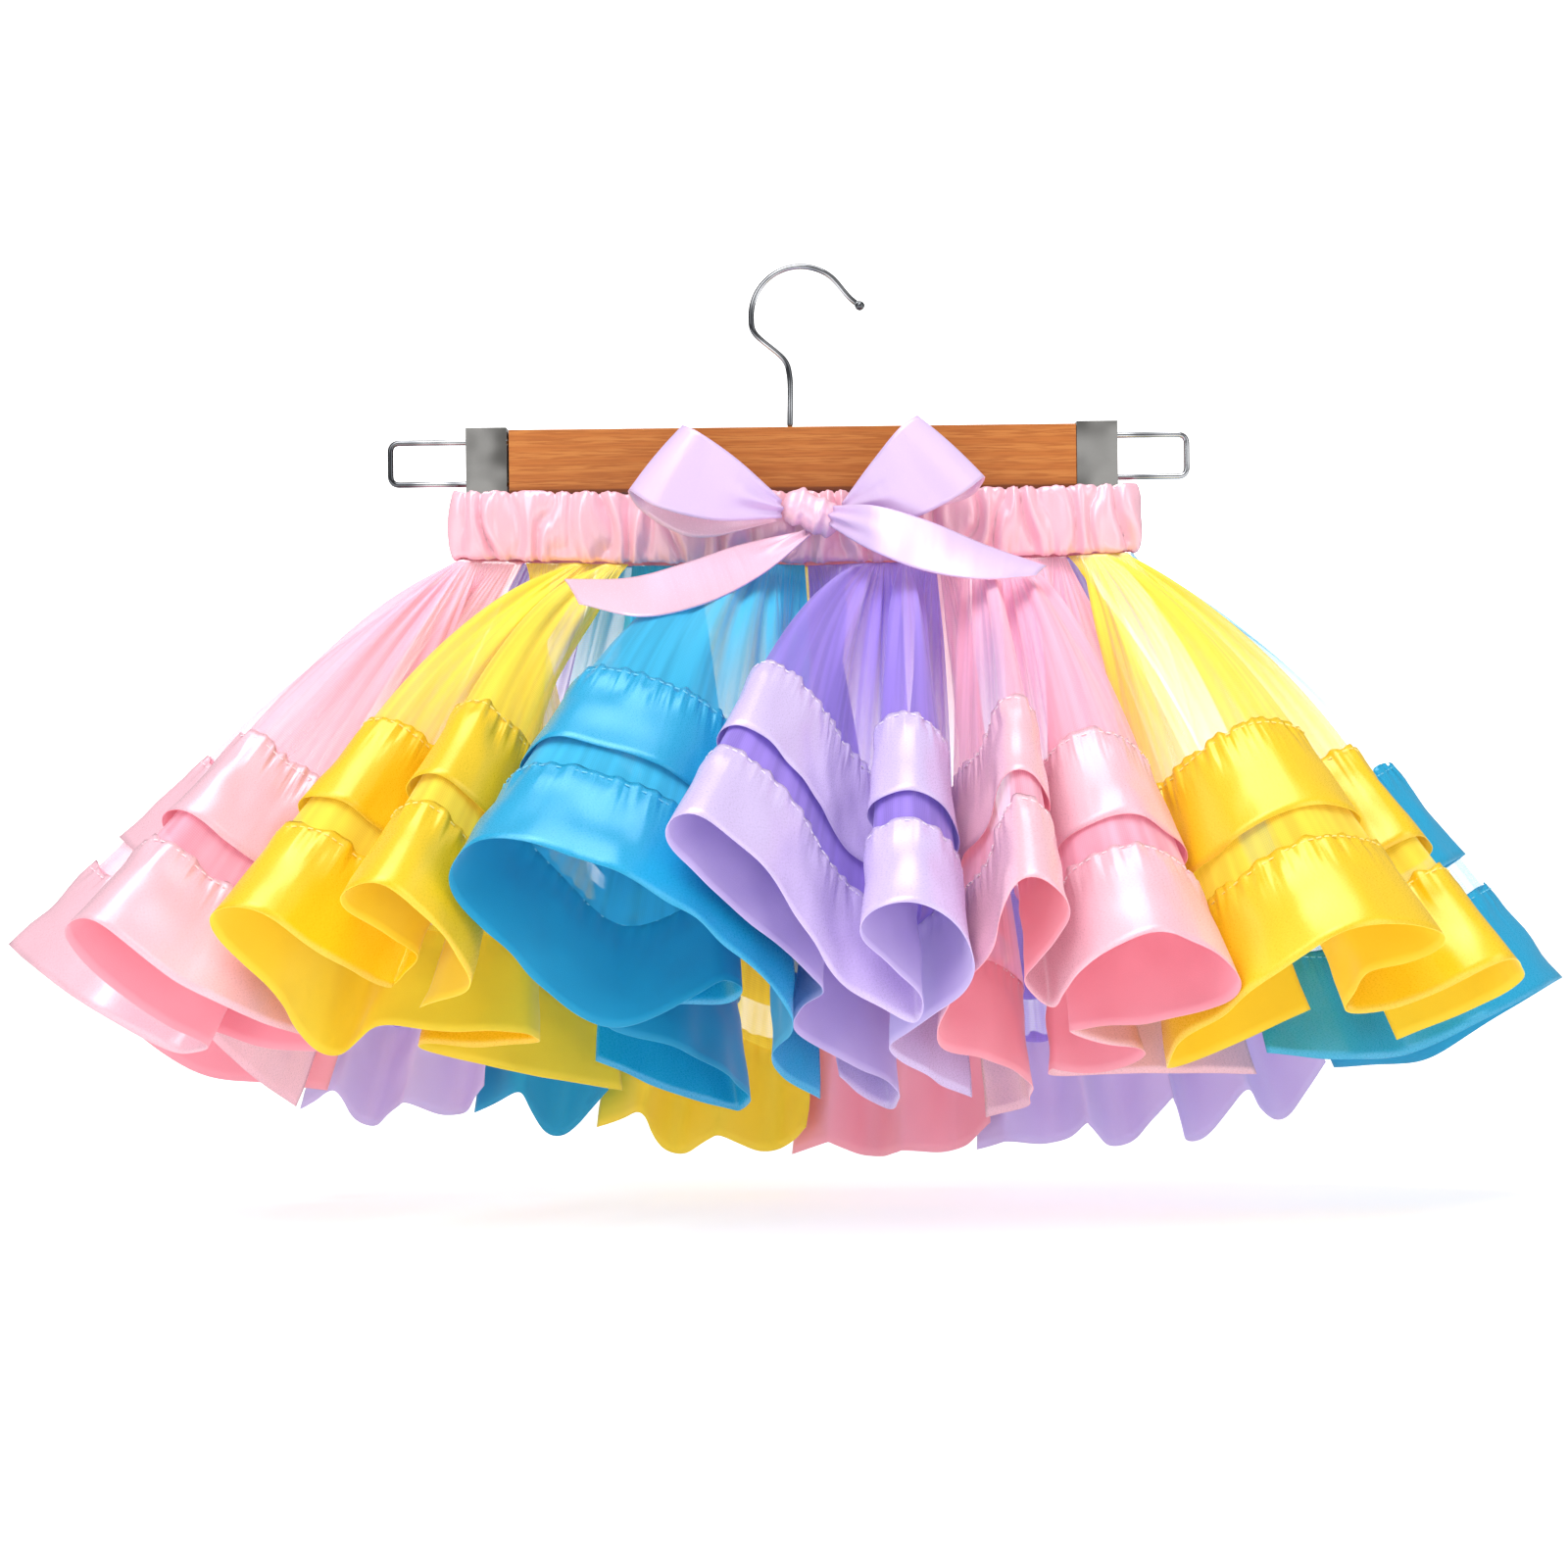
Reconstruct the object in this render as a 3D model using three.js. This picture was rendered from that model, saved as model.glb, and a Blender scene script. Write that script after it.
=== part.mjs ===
import * as THREE from 'three';

// A child's tulle skirt hung by its waistband on a clip hanger. Millimetres, +Z up, front facing -Y.
// The origin is the inside top of the hook, where a rail carries the hanger.

const CLOTH_LENGTH = 260;
const CLOTH_WALL = 1.0;
const LAYER_GAP = 0.3;
const REACH = 0.985;
const STRAIGHT_FROM = 145;
const TULLE_ROWS = { front: [0, 20, 60, 145, 195, 214], back: [0, 145, 195, 214] };
const UPPER_RIBBON_ROWS = [145, 195];
const HEM_RIBBON_ROWS = [210, 260];
const LINE_STEP = 1;
const ROUNDING_PASSES = 60;
const LONGEST_STEP = 30;
const SHARPEST_STEP = THREE.MathUtils.degToRad(46);

const WAIST = { centre: -3.5, half: 144.3, depth: 15, squareness: 0.35, seam: -127.4, lift: 4, pleat: 0.2 };
const BAND = { wall: 2, bottom: -126.1, top: -96.8, gathers: 44, gatherDepth: 1.4, scallop: 0.8 };
const SEAM_RISE = { front: 0.3, back: 0.8 };
const RIBBON_WALL = 1.2;
const KNOT = { x: 3.6, y: -23.5, z: -106, width: 27, depth: 13, height: 17 };

const BAR = { left: -125.2, right: 116.9, bottom: -98.3, top: -68, depth: 14, chamfer: 3.2 };
const CLIP = { width: 17.4, top: -66.8, bottom: -108, front: -6, back: 17.6, plate: 1.4, grip: 5.5 };
const CLIP_CENTRES = { left: -135, right: 126 };
const WIRE = 1.25;
const LOOP = { upper: -72.6, lower: -90.5, corner: 4, left: -177.7, right: 166, inset: 0.3 };
const HOOK = { radius: 21.2, from: 51, to: 198 };

const COLOURS = {
  pink: { net: 0xf7b9cd, satin: 0xf6c3d8 },
  yellow: { net: 0xfbe66a, satin: 0xfddc22 },
  blue: { net: 0x49b4dc, satin: 0x16a0d6 },
  lilac: { net: 0xb79bec, satin: 0xd2bdf3 },
};

// Each panel runs round the waist between two angles (0 is the left end, 90 the front middle).
// turns: the hem folds from one end of the cloth to the other. bow lifts the middle of the stretch
// that follows, tuck draws the fold back under the cloth, y sets its depth where it hangs behind.
const FRONT_PANELS = [
  {
    name: 'pink_left', colour: 'pink', from: -33, to: 36.5, swell: 0.05,
    turns: [
      { x: -207, z: -350, bow: 0, y: 4 },
      { x: -260, z: -342, bow: 0, y: -6 },
      { x: -335, z: -285, bow: -1, y: -31 },
      { x: -256, z: -330, bow: 0, tuck: 29 },
      { x: -239, z: -325, bow: -6, tuck: 32 },
      { x: -288, z: -276, bow: 1, tuck: 0 },
      { x: -274, z: -270, bow: -3, tuck: 0 },
      { x: -231, z: -302, bow: -1, tuck: 7 },
      { x: -194, z: -324, bow: -5, tuck: 66 },
      { x: -251, z: -317, bow: -2, tuck: 64 },
      { x: -222, z: -355, bow: 0, tuck: 56 },
    ],
  },
  {
    name: 'yellow_left', colour: 'yellow', from: 37, to: 60.6, swell: 0.075,
    turns: [
      { x: -76, z: -346, bow: -1, tuck: 81 },
      { x: -158, z: -324, bow: -2, tuck: 69 },
      { x: -104, z: -322, bow: -1, tuck: 61 },
      { x: -109, z: -316, bow: -1, tuck: 52 },
      { x: -174, z: -312, bow: -1, tuck: 39 },
      { x: -189, z: -327, bow: 3, tuck: 20 },
      { x: -229, z: -269, bow: 8, tuck: 0 },
      { x: -190, z: -282, bow: -1, tuck: 11 },
      { x: -161, z: -300, bow: 2, tuck: 40 },
      { x: -147, z: -286, bow: 0, tuck: 37 },
      { x: -174, z: -262, bow: 1, tuck: 0 },
      { x: -160, z: -255, bow: 5, tuck: 0 },
      { x: -129, z: -293, bow: -1, tuck: 3 },
      { x: -152, z: -304, bow: 0, tuck: 18 },
    ],
  },
  {
    name: 'blue_front', colour: 'blue', from: 61.1, to: 91.6, swell: 0.09,
    turns: [
      { x: -88, z: -332, bow: -2, tuck: 76 },
      { x: -28, z: -356, bow: 0, tuck: 63 },
      { x: -21, z: -348, bow: 7, tuck: 58 },
      { x: -81, z: -314, bow: 3, tuck: 57 },
      { x: -31, z: -307, bow: -1, tuck: 55 },
      { x: -22, z: -298, bow: -1, tuck: 48 },
      { x: -32, z: -293, bow: -4, tuck: 42 },
      { x: -79, z: -311, bow: -5, tuck: 4 },
      { x: -134, z: -254, bow: 2, tuck: 0 },
      { x: -122, z: -241, bow: 19, tuck: 0 },
      { x: -8, z: -310, bow: 0, tuck: 0 },
      { x: -19, z: -326, bow: -3, tuck: 20 },
      { x: 2, z: -346, bow: 0, tuck: 33 },
    ],
  },
  {
    name: 'lilac_front', colour: 'lilac', from: 92.1, to: 114.6, swell: 0.07,
    turns: [
      { x: 9, z: -339, bow: -3, tuck: 64 },
      { x: 34, z: -355, bow: 0, tuck: 55 },
      { x: 40, z: -346, bow: 1, tuck: 48 },
      { x: -5, z: -316, bow: 3, tuck: 39 },
      { x: 8, z: -299, bow: -1, tuck: 23 },
      { x: -52, z: -238, bow: 1, tuck: 0 },
      { x: -44, z: -231, bow: 9, tuck: 0 },
      { x: 8, z: -294, bow: -2, tuck: 0 },
      { x: 41, z: -314, bow: -2, tuck: 2 },
      { x: 45, z: -301, bow: 0, tuck: 5 },
      { x: 18, z: -275, bow: 17, tuck: 2 },
      { x: 59, z: -289, bow: -3, tuck: 2 },
      { x: 27, z: -323, bow: -2, tuck: 24 },
      { x: 62, z: -347, bow: 0, tuck: 38 },
    ],
  },
  {
    name: 'pink_right', colour: 'pink', from: 115.1, to: 143.2, swell: 0.07,
    turns: [
      { x: 74, z: -359, bow: 0, tuck: 62 },
      { x: 91, z: -353, bow: 0, tuck: 53 },
      { x: 92, z: -343, bow: 5, tuck: 45 },
      { x: 52, z: -324, bow: 10, tuck: 28 },
      { x: 67, z: -289, bow: 23, tuck: 6 },
      { x: 93, z: -267, bow: -4, tuck: 0 },
      { x: 77, z: -296, bow: -2, tuck: 19 },
      { x: 92, z: -309, bow: -3, tuck: 19 },
      { x: 106, z: -287, bow: 16, tuck: 0 },
      { x: 161, z: -302, bow: -3, tuck: 0 },
      { x: 94, z: -316, bow: -2, tuck: 22 },
      { x: 130, z: -328, bow: -6, tuck: 34 },
      { x: 93, z: -333, bow: 0, tuck: 45 },
      { x: 92, z: -339, bow: 1, tuck: 53 },
      { x: 182, z: -342, bow: 0, tuck: 60 },
    ],
  },
  {
    name: 'yellow_right', colour: 'yellow', from: 143.7, to: 169.5, swell: 0.08,
    turns: [
      { x: 200, z: -311, bow: -1, tuck: 51 },
      { x: 142, z: -334, bow: -4, tuck: 30 },
      { x: 143, z: -323, bow: -2, tuck: 13 },
      { x: 174, z: -296, bow: 13, tuck: 0 },
      { x: 242, z: -284, bow: -2, tuck: 0 },
      { x: 212, z: -294, bow: 0, tuck: 16 },
      { x: 206, z: -313, bow: -1, tuck: 26 },
      { x: 224, z: -313, bow: -2, tuck: 18 },
      { x: 272, z: -292, bow: 0, tuck: 1 },
      { x: 283, z: -303, bow: -1, tuck: 7 },
      { x: 234, z: -325, bow: 0, tuck: 26 },
    ],
  },
  {
    name: 'blue_right', colour: 'blue', from: 172.5, to: 211, swell: 0.095,
    turns: [
      { x: 181, z: -331, bow: -2, tuck: 43 },
      { x: 245, z: -334, bow: 2, tuck: 21 },
      { x: 318, z: -307, bow: 0, y: -20 },
      { x: 264, z: -344, bow: 0, y: 12 },
      { x: 229, z: -348, bow: 0, y: 34 },
    ],
  },
];

// The back hangs flat in even pleats, from the right end to the left.
const BACK_PANELS = [
  { name: 'lilac_back_right', colour: 'lilac', from: 211.5, to: 238, x: [223, 71], near: [-350, -374], far: [-372, -388], pleats: 9 },
  { name: 'pink_back', colour: 'pink', from: 238.5, to: 262, x: [77, -10], near: [-374, -376], far: [-387, -389], pleats: 5 },
  { name: 'yellow_back', colour: 'yellow', from: 262.5, to: 285, x: [-3, -95], near: [-375, -363], far: [-390, -376], pleats: 5 },
  { name: 'blue_back', colour: 'blue', from: 285.5, to: 306, x: [-88, -149], near: [-358, -355], far: [-373, -369], pleats: 3 },
  { name: 'lilac_back_left', colour: 'lilac', from: 306.5, to: 325, x: [-143, -226], near: [-355, -354], far: [-371, -366], pleats: 5 },
];
const PLEAT_DEPTHS = { near: 16, far: 38 };
const PLEAT_WANDER = { x: 2.5, z: 3.5, turn: 2.4 };

// Two edges of the ribbon at each section, from the knot outwards (x, y, z).
const BOW_STRIPS = {
  bow_loop_left: [
    { a: [-9.2, -28.8, -100.5], b: [-9.2, -28.8, -108.5] },
    { a: [-28, -40, -84], b: [-38, -42, -110] },
    { a: [-44, -45, -73], b: [-62, -45, -104] },
    { a: [-50, -39, -70], b: [-73, -38, -97] },
    { a: [-46, -31, -72], b: [-69, -30, -104] },
    { a: [-30, -27, -83], b: [-47, -27, -116] },
    { a: [-10.3, -24, -100.5], b: [-10.3, -24, -109.5] },
  ],
  bow_loop_right: [
    { a: [16.6, -28.8, -102], b: [16.6, -28.8, -110] },
    { a: [29, -40, -86], b: [43, -42, -111] },
    { a: [41, -45, -72], b: [65, -45, -101] },
    { a: [48, -39, -67], b: [76, -38, -93] },
    { a: [44, -31, -70], b: [71, -30, -100] },
    { a: [30, -27, -85], b: [48, -27, -106] },
    { a: [17.5, -24, -101], b: [17.5, -24, -110] },
  ],
  bow_tail_left: [
    { a: [-2.5, -25.5, -114.4], b: [3, -26, -115.6] },
    { a: [-24, -31, -119], b: [-18, -56, -134] },
    { a: [-49, -62, -129], b: [-43, -92, -148] },
    { a: [-72, -82, -136], b: [-66, -113, -153] },
    { a: [-98, -78, -136], b: [-91, -100, -147] },
  ],
  bow_tail_right: [
    { a: [10.5, -24.5, -114], b: [5, -25.5, -115.8] },
    { a: [31, -28, -117], b: [28, -48, -127] },
    { a: [50, -34, -120], b: [44, -64, -136] },
    { a: [69, -40, -126], b: [66, -66, -138] },
    { a: [96, -46, -133], b: [93, -54, -137] },
  ],
};
const BOW_COLOURS = {
  bow_loop_left: 0xe9c3ea,
  bow_loop_right: 0xd9bdf2,
  bow_tail_left: 0xf2c6e2,
  bow_tail_right: 0xc9b2ee,
};

function cloth(colour, roughness, opacity = 1) {
  const sheer = opacity < 1;
  return new THREE.MeshStandardMaterial({
    color: colour, roughness, metalness: 0, side: THREE.DoubleSide, transparent: sheer, opacity,
  });
}

const CHROME = new THREE.MeshStandardMaterial({ color: 0xc4c8cc, roughness: 0.15, metalness: 1 });
const WOOD = new THREE.MeshStandardMaterial({ color: 0xb8712c, roughness: 0.4, metalness: 0 });

function waistPoint(degrees) {
  const angle = THREE.MathUtils.degToRad(degrees);
  const across = Math.cos(angle);
  const out = Math.sin(angle);
  return new THREE.Vector3(
    WAIST.centre - WAIST.half * across,
    -WAIST.depth * Math.sign(out) * Math.abs(out) ** WAIST.squareness,
    WAIST.seam + WAIST.lift * across * across,
  );
}

function backTurns(panel) {
  const turns = [];
  for (let i = 0; i <= panel.pleats; i += 1) {
    const along = i / panel.pleats;
    const side = i % 2 === 0 ? 'near' : 'far';
    const inside = i > 0 && i < panel.pleats ? 1 : 0;
    const stray = inside * Math.sin(PLEAT_WANDER.turn * i + panel.from);
    turns.push({
      x: THREE.MathUtils.lerp(...panel.x, along) + PLEAT_WANDER.x * stray,
      z: THREE.MathUtils.lerp(...panel[side], along) + PLEAT_WANDER.z * stray,
      bow: 0,
      y: PLEAT_DEPTHS[side],
    });
  }
  return turns;
}

function withMiddles(turns) {
  const points = [];
  turns.forEach((turn, i) => {
    points.push(turn);
    const next = turns[i + 1];
    if (!next) {
      return;
    }
    const bothSet = turn.y !== undefined && next.y !== undefined;
    points.push({
      x: (turn.x + next.x) / 2,
      z: (turn.z + next.z) / 2 + turn.bow,
      y: bothSet ? (turn.y + next.y) / 2 : undefined,
      tuck: ((turn.tuck ?? 0) + (next.tuck ?? 0)) / 2,
    });
  });
  return points;
}

// A fold stands out as far as the cloth between it and the waist seam lets it.
function foldPoint(point, seam) {
  if (point.y !== undefined) {
    return new THREE.Vector3(point.x, point.y, point.z);
  }
  const across = point.x - seam.x;
  const down = point.z - seam.z;
  const out = Math.sqrt(Math.max((CLOTH_LENGTH * REACH) ** 2 - across ** 2 - down ** 2, 0));
  return new THREE.Vector3(point.x, seam.y - out + point.tuck, point.z);
}

function hemLine(panel) {
  const points = withMiddles(panel.turns);
  const travelled = [0];
  for (let i = 1; i < points.length; i += 1) {
    const step = Math.hypot(points[i].x - points[i - 1].x, points[i].z - points[i - 1].z);
    travelled.push(travelled[i - 1] + step);
  }
  const folds = points.map((point, i) => {
    const share = travelled[i] / travelled.at(-1);
    return foldPoint(point, waistPoint(THREE.MathUtils.lerp(panel.from, panel.to, share)));
  });
  const curve = new THREE.CatmullRomCurve3(folds, false, 'centripetal');
  curve.arcLengthDivisions = 3000;
  let line = curve.getSpacedPoints(Math.round(curve.getLength() / LINE_STEP));
  for (let pass = 0; pass < ROUNDING_PASSES; pass += 1) {
    line = line.map((point, i) => {
      if (i === 0 || i === line.length - 1) {
        return point;
      }
      return point.clone().multiplyScalar(2).add(line[i - 1]).add(line[i + 1]).multiplyScalar(0.25);
    });
  }
  return line;
}

// Sections lie close together where the cloth turns and far apart where it runs straight.
function sectionShares(line) {
  const cost = [0];
  for (let i = 1; i < line.length; i += 1) {
    const step = line[i].clone().sub(line[i - 1]);
    const before = i > 1 ? line[i - 1].clone().sub(line[i - 2]) : step;
    cost.push(cost[i - 1] + step.length() / LONGEST_STEP + step.angleTo(before) / SHARPEST_STEP);
  }
  const count = Math.ceil(cost.at(-1));
  const shares = [];
  let i = 0;
  for (let k = 0; k <= count; k += 1) {
    const wanted = (cost.at(-1) * k) / count;
    while (i < cost.length - 1 && cost[i] < wanted) {
      i += 1;
    }
    shares.push(i / (line.length - 1));
  }
  return shares;
}

// Height of the cloth over its chord: one arc from the seam, then the tangent down to the hem.
function swellAt(along) {
  const bend = STRAIGHT_FROM / CLOTH_LENGTH;
  const rise = 2 * bend - bend * bend;
  const peak = (rise / 2) ** 2;
  const height = along <= bend ? rise * along - along * along : (rise - 2 * bend) * (along - 1);
  return height / peak;
}

function clothPoint(seam, hem, distance, swell) {
  const chord = hem.clone().sub(seam);
  const length = chord.length();
  const level = new THREE.Vector3(chord.x, chord.y, 0);
  const flare = level.length() / length;
  level.normalize();
  const normal = level.multiplyScalar(-chord.z / length).add(new THREE.Vector3(0, 0, flare));
  const along = distance / CLOTH_LENGTH;
  const height = swell * CLOTH_LENGTH * flare * swellAt(along);
  return seam.clone().addScaledVector(chord, along).addScaledVector(normal, height);
}

// The same cloth for the tulle and the ribbons sewn to it: lines from the seam to the hem.
function panelLines(panel) {
  const line = hemLine(panel);
  return sectionShares(line).map((share) => {
    const degrees = THREE.MathUtils.lerp(panel.from, panel.to, share);
    const seam = waistPoint(degrees);
    const hem = line[Math.round(share * (line.length - 1))];
    const full = foldPoint({ x: hem.x, z: hem.z, tuck: 0 }, seam);
    seam.z += SEAM_RISE[panel.side];
    const facing = Math.max(Math.sin(THREE.MathUtils.degToRad(degrees)), 0);
    seam.y += WAIST.pleat * facing * (hem.y - full.y);
    return { seam, hem };
  });
}

function mitredNormal(before, here, after, downwards) {
  const first = downwards.clone().cross(here.clone().sub(before)).normalize();
  const second = downwards.clone().cross(after.clone().sub(here)).normalize();
  if (first.lengthSq() === 0) {
    return second;
  }
  if (second.lengthSq() === 0) {
    return first;
  }
  const normal = first.clone().add(second).normalize();
  return normal.multiplyScalar(1 / Math.max(normal.dot(first), 0.6));
}

function offsetRows(panel, lines, distances, offset) {
  return distances.map((distance) => {
    const row = lines.map(({ seam, hem }) => clothPoint(seam, hem, distance, panel.swell));
    return row.map((here, i) => {
      const { seam, hem } = lines[i];
      const above = clothPoint(seam, hem, Math.max(distance - 1, 0), panel.swell);
      const below = clothPoint(seam, hem, distance + 1, panel.swell);
      const before = row[i - 1] ?? here;
      const after = row[i + 1] ?? here;
      const normal = mitredNormal(before, here, after, below.sub(above).normalize());
      return here.clone().addScaledVector(normal, offset);
    });
  });
}

// A closed body between two grids of points; a ring joins its last column to its first.
function shell(outer, inner, ring = false) {
  const rows = outer.length;
  const columns = outer[0].length;
  const points = [...outer.flat(), ...inner.flat()];
  const index = (side, row, column) => (side * rows + row) * columns + (column % columns);
  const faces = [];
  const quad = (a, b, c, d) => faces.push(a, b, c, a, c, d);
  const last = ring ? columns : columns - 1;
  for (let c = 0; c < last; c += 1) {
    for (let r = 0; r < rows - 1; r += 1) {
      quad(index(0, r, c), index(0, r + 1, c), index(0, r + 1, c + 1), index(0, r, c + 1));
      quad(index(1, r + 1, c + 1), index(1, r + 1, c), index(1, r, c), index(1, r, c + 1));
    }
    quad(index(1, 0, c), index(0, 0, c), index(0, 0, c + 1), index(1, 0, c + 1));
    quad(index(0, rows - 1, c), index(1, rows - 1, c), index(1, rows - 1, c + 1), index(0, rows - 1, c + 1));
  }
  if (!ring) {
    for (let r = 0; r < rows - 1; r += 1) {
      quad(index(1, r, 0), index(1, r + 1, 0), index(0, r + 1, 0), index(0, r, 0));
      quad(index(0, r, last), index(0, r + 1, last), index(1, r + 1, last), index(1, r, last));
    }
  }
  const geometry = new THREE.BufferGeometry();
  geometry.setAttribute('position', new THREE.Float32BufferAttribute(points.flatMap((p) => p.toArray()), 3));
  geometry.setIndex(faces);
  geometry.computeVertexNormals();
  return geometry;
}

function panelMeshes(panel) {
  const lines = panelLines(panel);
  const half = CLOTH_WALL / 2;
  const under = half + LAYER_GAP;
  const layers = [
    { name: `tulle_${panel.name}`, rows: TULLE_ROWS[panel.side], from: -half, to: half },
    { name: `upper_ribbon_${panel.name}`, rows: UPPER_RIBBON_ROWS, from: under, to: under + CLOTH_WALL },
    { name: `hem_ribbon_${panel.name}`, rows: HEM_RIBBON_ROWS, from: under, to: under + CLOTH_WALL },
  ];
  const colours = COLOURS[panel.colour];
  return layers.map((layer) => {
    const outer = offsetRows(panel, lines, layer.rows, layer.to);
    const inner = offsetRows(panel, lines, layer.rows, layer.from);
    const net = layer.name.startsWith('tulle');
    const material = net ? cloth(colours.net, 0.9, 0.6) : cloth(colours.satin, 0.35);
    return named(layer.name, shell(outer, inner), material);
  });
}

function named(name, geometry, material) {
  const mesh = new THREE.Mesh(geometry, material);
  mesh.name = name;
  return mesh;
}

function waistband() {
  const oval = [];
  for (let degrees = 0; degrees < 360; degrees += 5) {
    oval.push(waistPoint(degrees));
  }
  const curve = new THREE.CatmullRomCurve3(oval, true, 'centripetal');
  curve.arcLengthDivisions = 1500;
  const count = BAND.gathers * 3;
  const line = curve.getSpacedPoints(count).slice(0, count);
  const grid = (offset) => ['top', 'bottom'].map((edge) => line.map((here, i) => {
    const before = line[(i + count - 1) % count];
    const after = line[(i + 1) % count];
    const normal = new THREE.Vector3(after.y - before.y, before.x - after.x, 0).normalize();
    const wave = Math.cos((Math.PI * 2 * i) / 3);
    const point = here.clone().addScaledVector(normal, offset + BAND.gatherDepth * wave);
    const rise = here.z - WAIST.seam;
    point.z = edge === 'top' ? BAND.top + rise / 2 + BAND.scallop * wave : BAND.bottom + rise;
    return point;
  }));
  return named('waistband', shell(grid(BAND.wall / 2), grid(-BAND.wall / 2), true), cloth(0xf6bccf, 0.35));
}

function bowStrip(name) {
  const sections = BOW_STRIPS[name];
  const edge = (side) => new THREE.CatmullRomCurve3(
    sections.map((section) => new THREE.Vector3(...section[side])), false, 'centripetal',
  ).getPoints((sections.length - 1) * 3);
  const upper = edge('a');
  const lower = edge('b');
  const right = upper.at(-1).x > upper[0].x || name.endsWith('right');
  const columns = upper.map((_, i) => i);
  if (!right) {
    columns.reverse();
  }
  const rows = [upper, lower].map((line) => columns.map((i) => line[i]));
  const grid = (offset) => rows.map((row) => row.map((here, i) => {
    const down = rows[1][i].clone().sub(rows[0][i]).normalize();
    const normal = mitredNormal(row[i - 1] ?? here, here, row[i + 1] ?? here, down);
    return here.clone().addScaledVector(normal, offset);
  }));
  return named(name, shell(grid(RIBBON_WALL / 2), grid(-RIBBON_WALL / 2)), cloth(BOW_COLOURS[name], 0.3));
}

function bowKnot() {
  const geometry = new THREE.SphereGeometry(0.5, 12, 8);
  geometry.scale(KNOT.width, KNOT.depth, KNOT.height);
  const mesh = named('bow_knot', geometry, cloth(0xf4c3dd, 0.3));
  mesh.position.set(KNOT.x, KNOT.y, KNOT.z);
  return mesh;
}

function hangerBar() {
  const half = BAR.depth / 2;
  const profile = new THREE.Shape([
    new THREE.Vector2(-half, BAR.bottom + BAR.chamfer),
    new THREE.Vector2(-half + BAR.chamfer, BAR.bottom),
    new THREE.Vector2(half, BAR.bottom),
    new THREE.Vector2(half, BAR.top),
    new THREE.Vector2(-half, BAR.top),
  ]);
  return named('hanger_bar', alongX(profile, BAR.left, BAR.right), WOOD);
}

// A profile drawn in the y-z plane, carried along x from one end to the other.
function alongX(profile, from, to) {
  const geometry = new THREE.ExtrudeGeometry(profile, { depth: to - from, bevelEnabled: false });
  const turn = new THREE.Matrix4().makeBasis(
    new THREE.Vector3(0, 1, 0), new THREE.Vector3(0, 0, 1), new THREE.Vector3(1, 0, 0),
  );
  geometry.applyMatrix4(turn);
  geometry.translate(from, 0, 0);
  return geometry;
}

// The clip straddles the back of the waistband, its two jaws turned in towards the cloth.
function clip(side) {
  const { top, bottom, front, back, plate, grip } = CLIP;
  const profile = new THREE.Shape([
    new THREE.Vector2(front, top),
    new THREE.Vector2(front, bottom + grip),
    new THREE.Vector2(front + grip * 2, bottom),
    new THREE.Vector2(front + grip * 2, bottom + plate * 1.4),
    new THREE.Vector2(front + plate, bottom + grip + plate),
    new THREE.Vector2(front + plate, top - plate),
    new THREE.Vector2(back - plate, top - plate),
    new THREE.Vector2(back - plate, bottom + grip),
    new THREE.Vector2(back - plate * 2, bottom),
    new THREE.Vector2(back - plate, bottom),
    new THREE.Vector2(back, bottom + grip),
    new THREE.Vector2(back, top),
  ]);
  const centre = CLIP_CENTRES[side];
  const geometry = alongX(profile, centre - CLIP.width / 2, centre + CLIP.width / 2);
  return named(`clip_${side}`, geometry, CHROME);
}

function wire(path, steps) {
  const section = new THREE.Shape();
  section.absarc(0, 0, WIRE, 0, Math.PI * 2);
  return new THREE.ExtrudeGeometry(section, { extrudePath: path, steps, curveSegments: 4, bevelEnabled: false });
}

// Sprung wire loop beside a clip; its two rails run through the clip to the end of the bar.
function wireLoop(side) {
  const way = side === 'left' ? -1 : 1;
  const root = side === 'left' ? BAR.left - LOOP.inset : BAR.right + LOOP.inset;
  const tip = LOOP[side] - way * WIRE;
  const bend = tip - way * LOOP.corner;
  const path = new THREE.CurvePath();
  const point = (x, z) => new THREE.Vector3(x, 0, z);
  const straights = [
    [point(root, LOOP.upper), point(bend, LOOP.upper)],
    [point(tip, LOOP.upper - LOOP.corner), point(tip, LOOP.lower + LOOP.corner)],
    [point(bend, LOOP.lower), point(root, LOOP.lower)],
  ];
  path.add(new THREE.LineCurve3(...straights[0]));
  path.add(new THREE.QuadraticBezierCurve3(straights[0][1], point(tip, LOOP.upper), straights[1][0]));
  path.add(new THREE.LineCurve3(...straights[1]));
  path.add(new THREE.QuadraticBezierCurve3(straights[1][1], point(tip, LOOP.lower), straights[2][0]));
  path.add(new THREE.LineCurve3(...straights[2]));
  return named(`wire_loop_${side}`, wire(path, 20), CHROME);
}

function hook() {
  const points = [new THREE.Vector3(27.1, 0, -17.1), new THREE.Vector3(21.5, 0, -12.8)];
  const centre = WIRE - HOOK.radius;
  for (let degrees = HOOK.from; degrees <= HOOK.to; degrees += (HOOK.to - HOOK.from) / 9) {
    const angle = THREE.MathUtils.degToRad(degrees);
    points.push(new THREE.Vector3(HOOK.radius * Math.cos(angle), 0, centre + HOOK.radius * Math.sin(angle)));
  }
  points.push(
    new THREE.Vector3(-6.9, 0, -39.2),
    new THREE.Vector3(-5.1, 0, -45.1),
    new THREE.Vector3(-5.1, 0, BAR.top + LOOP.inset),
  );
  const path = new THREE.CatmullRomCurve3(points, false, 'centripetal');
  return named('hook', wire(path, 36), CHROME);
}

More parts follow.
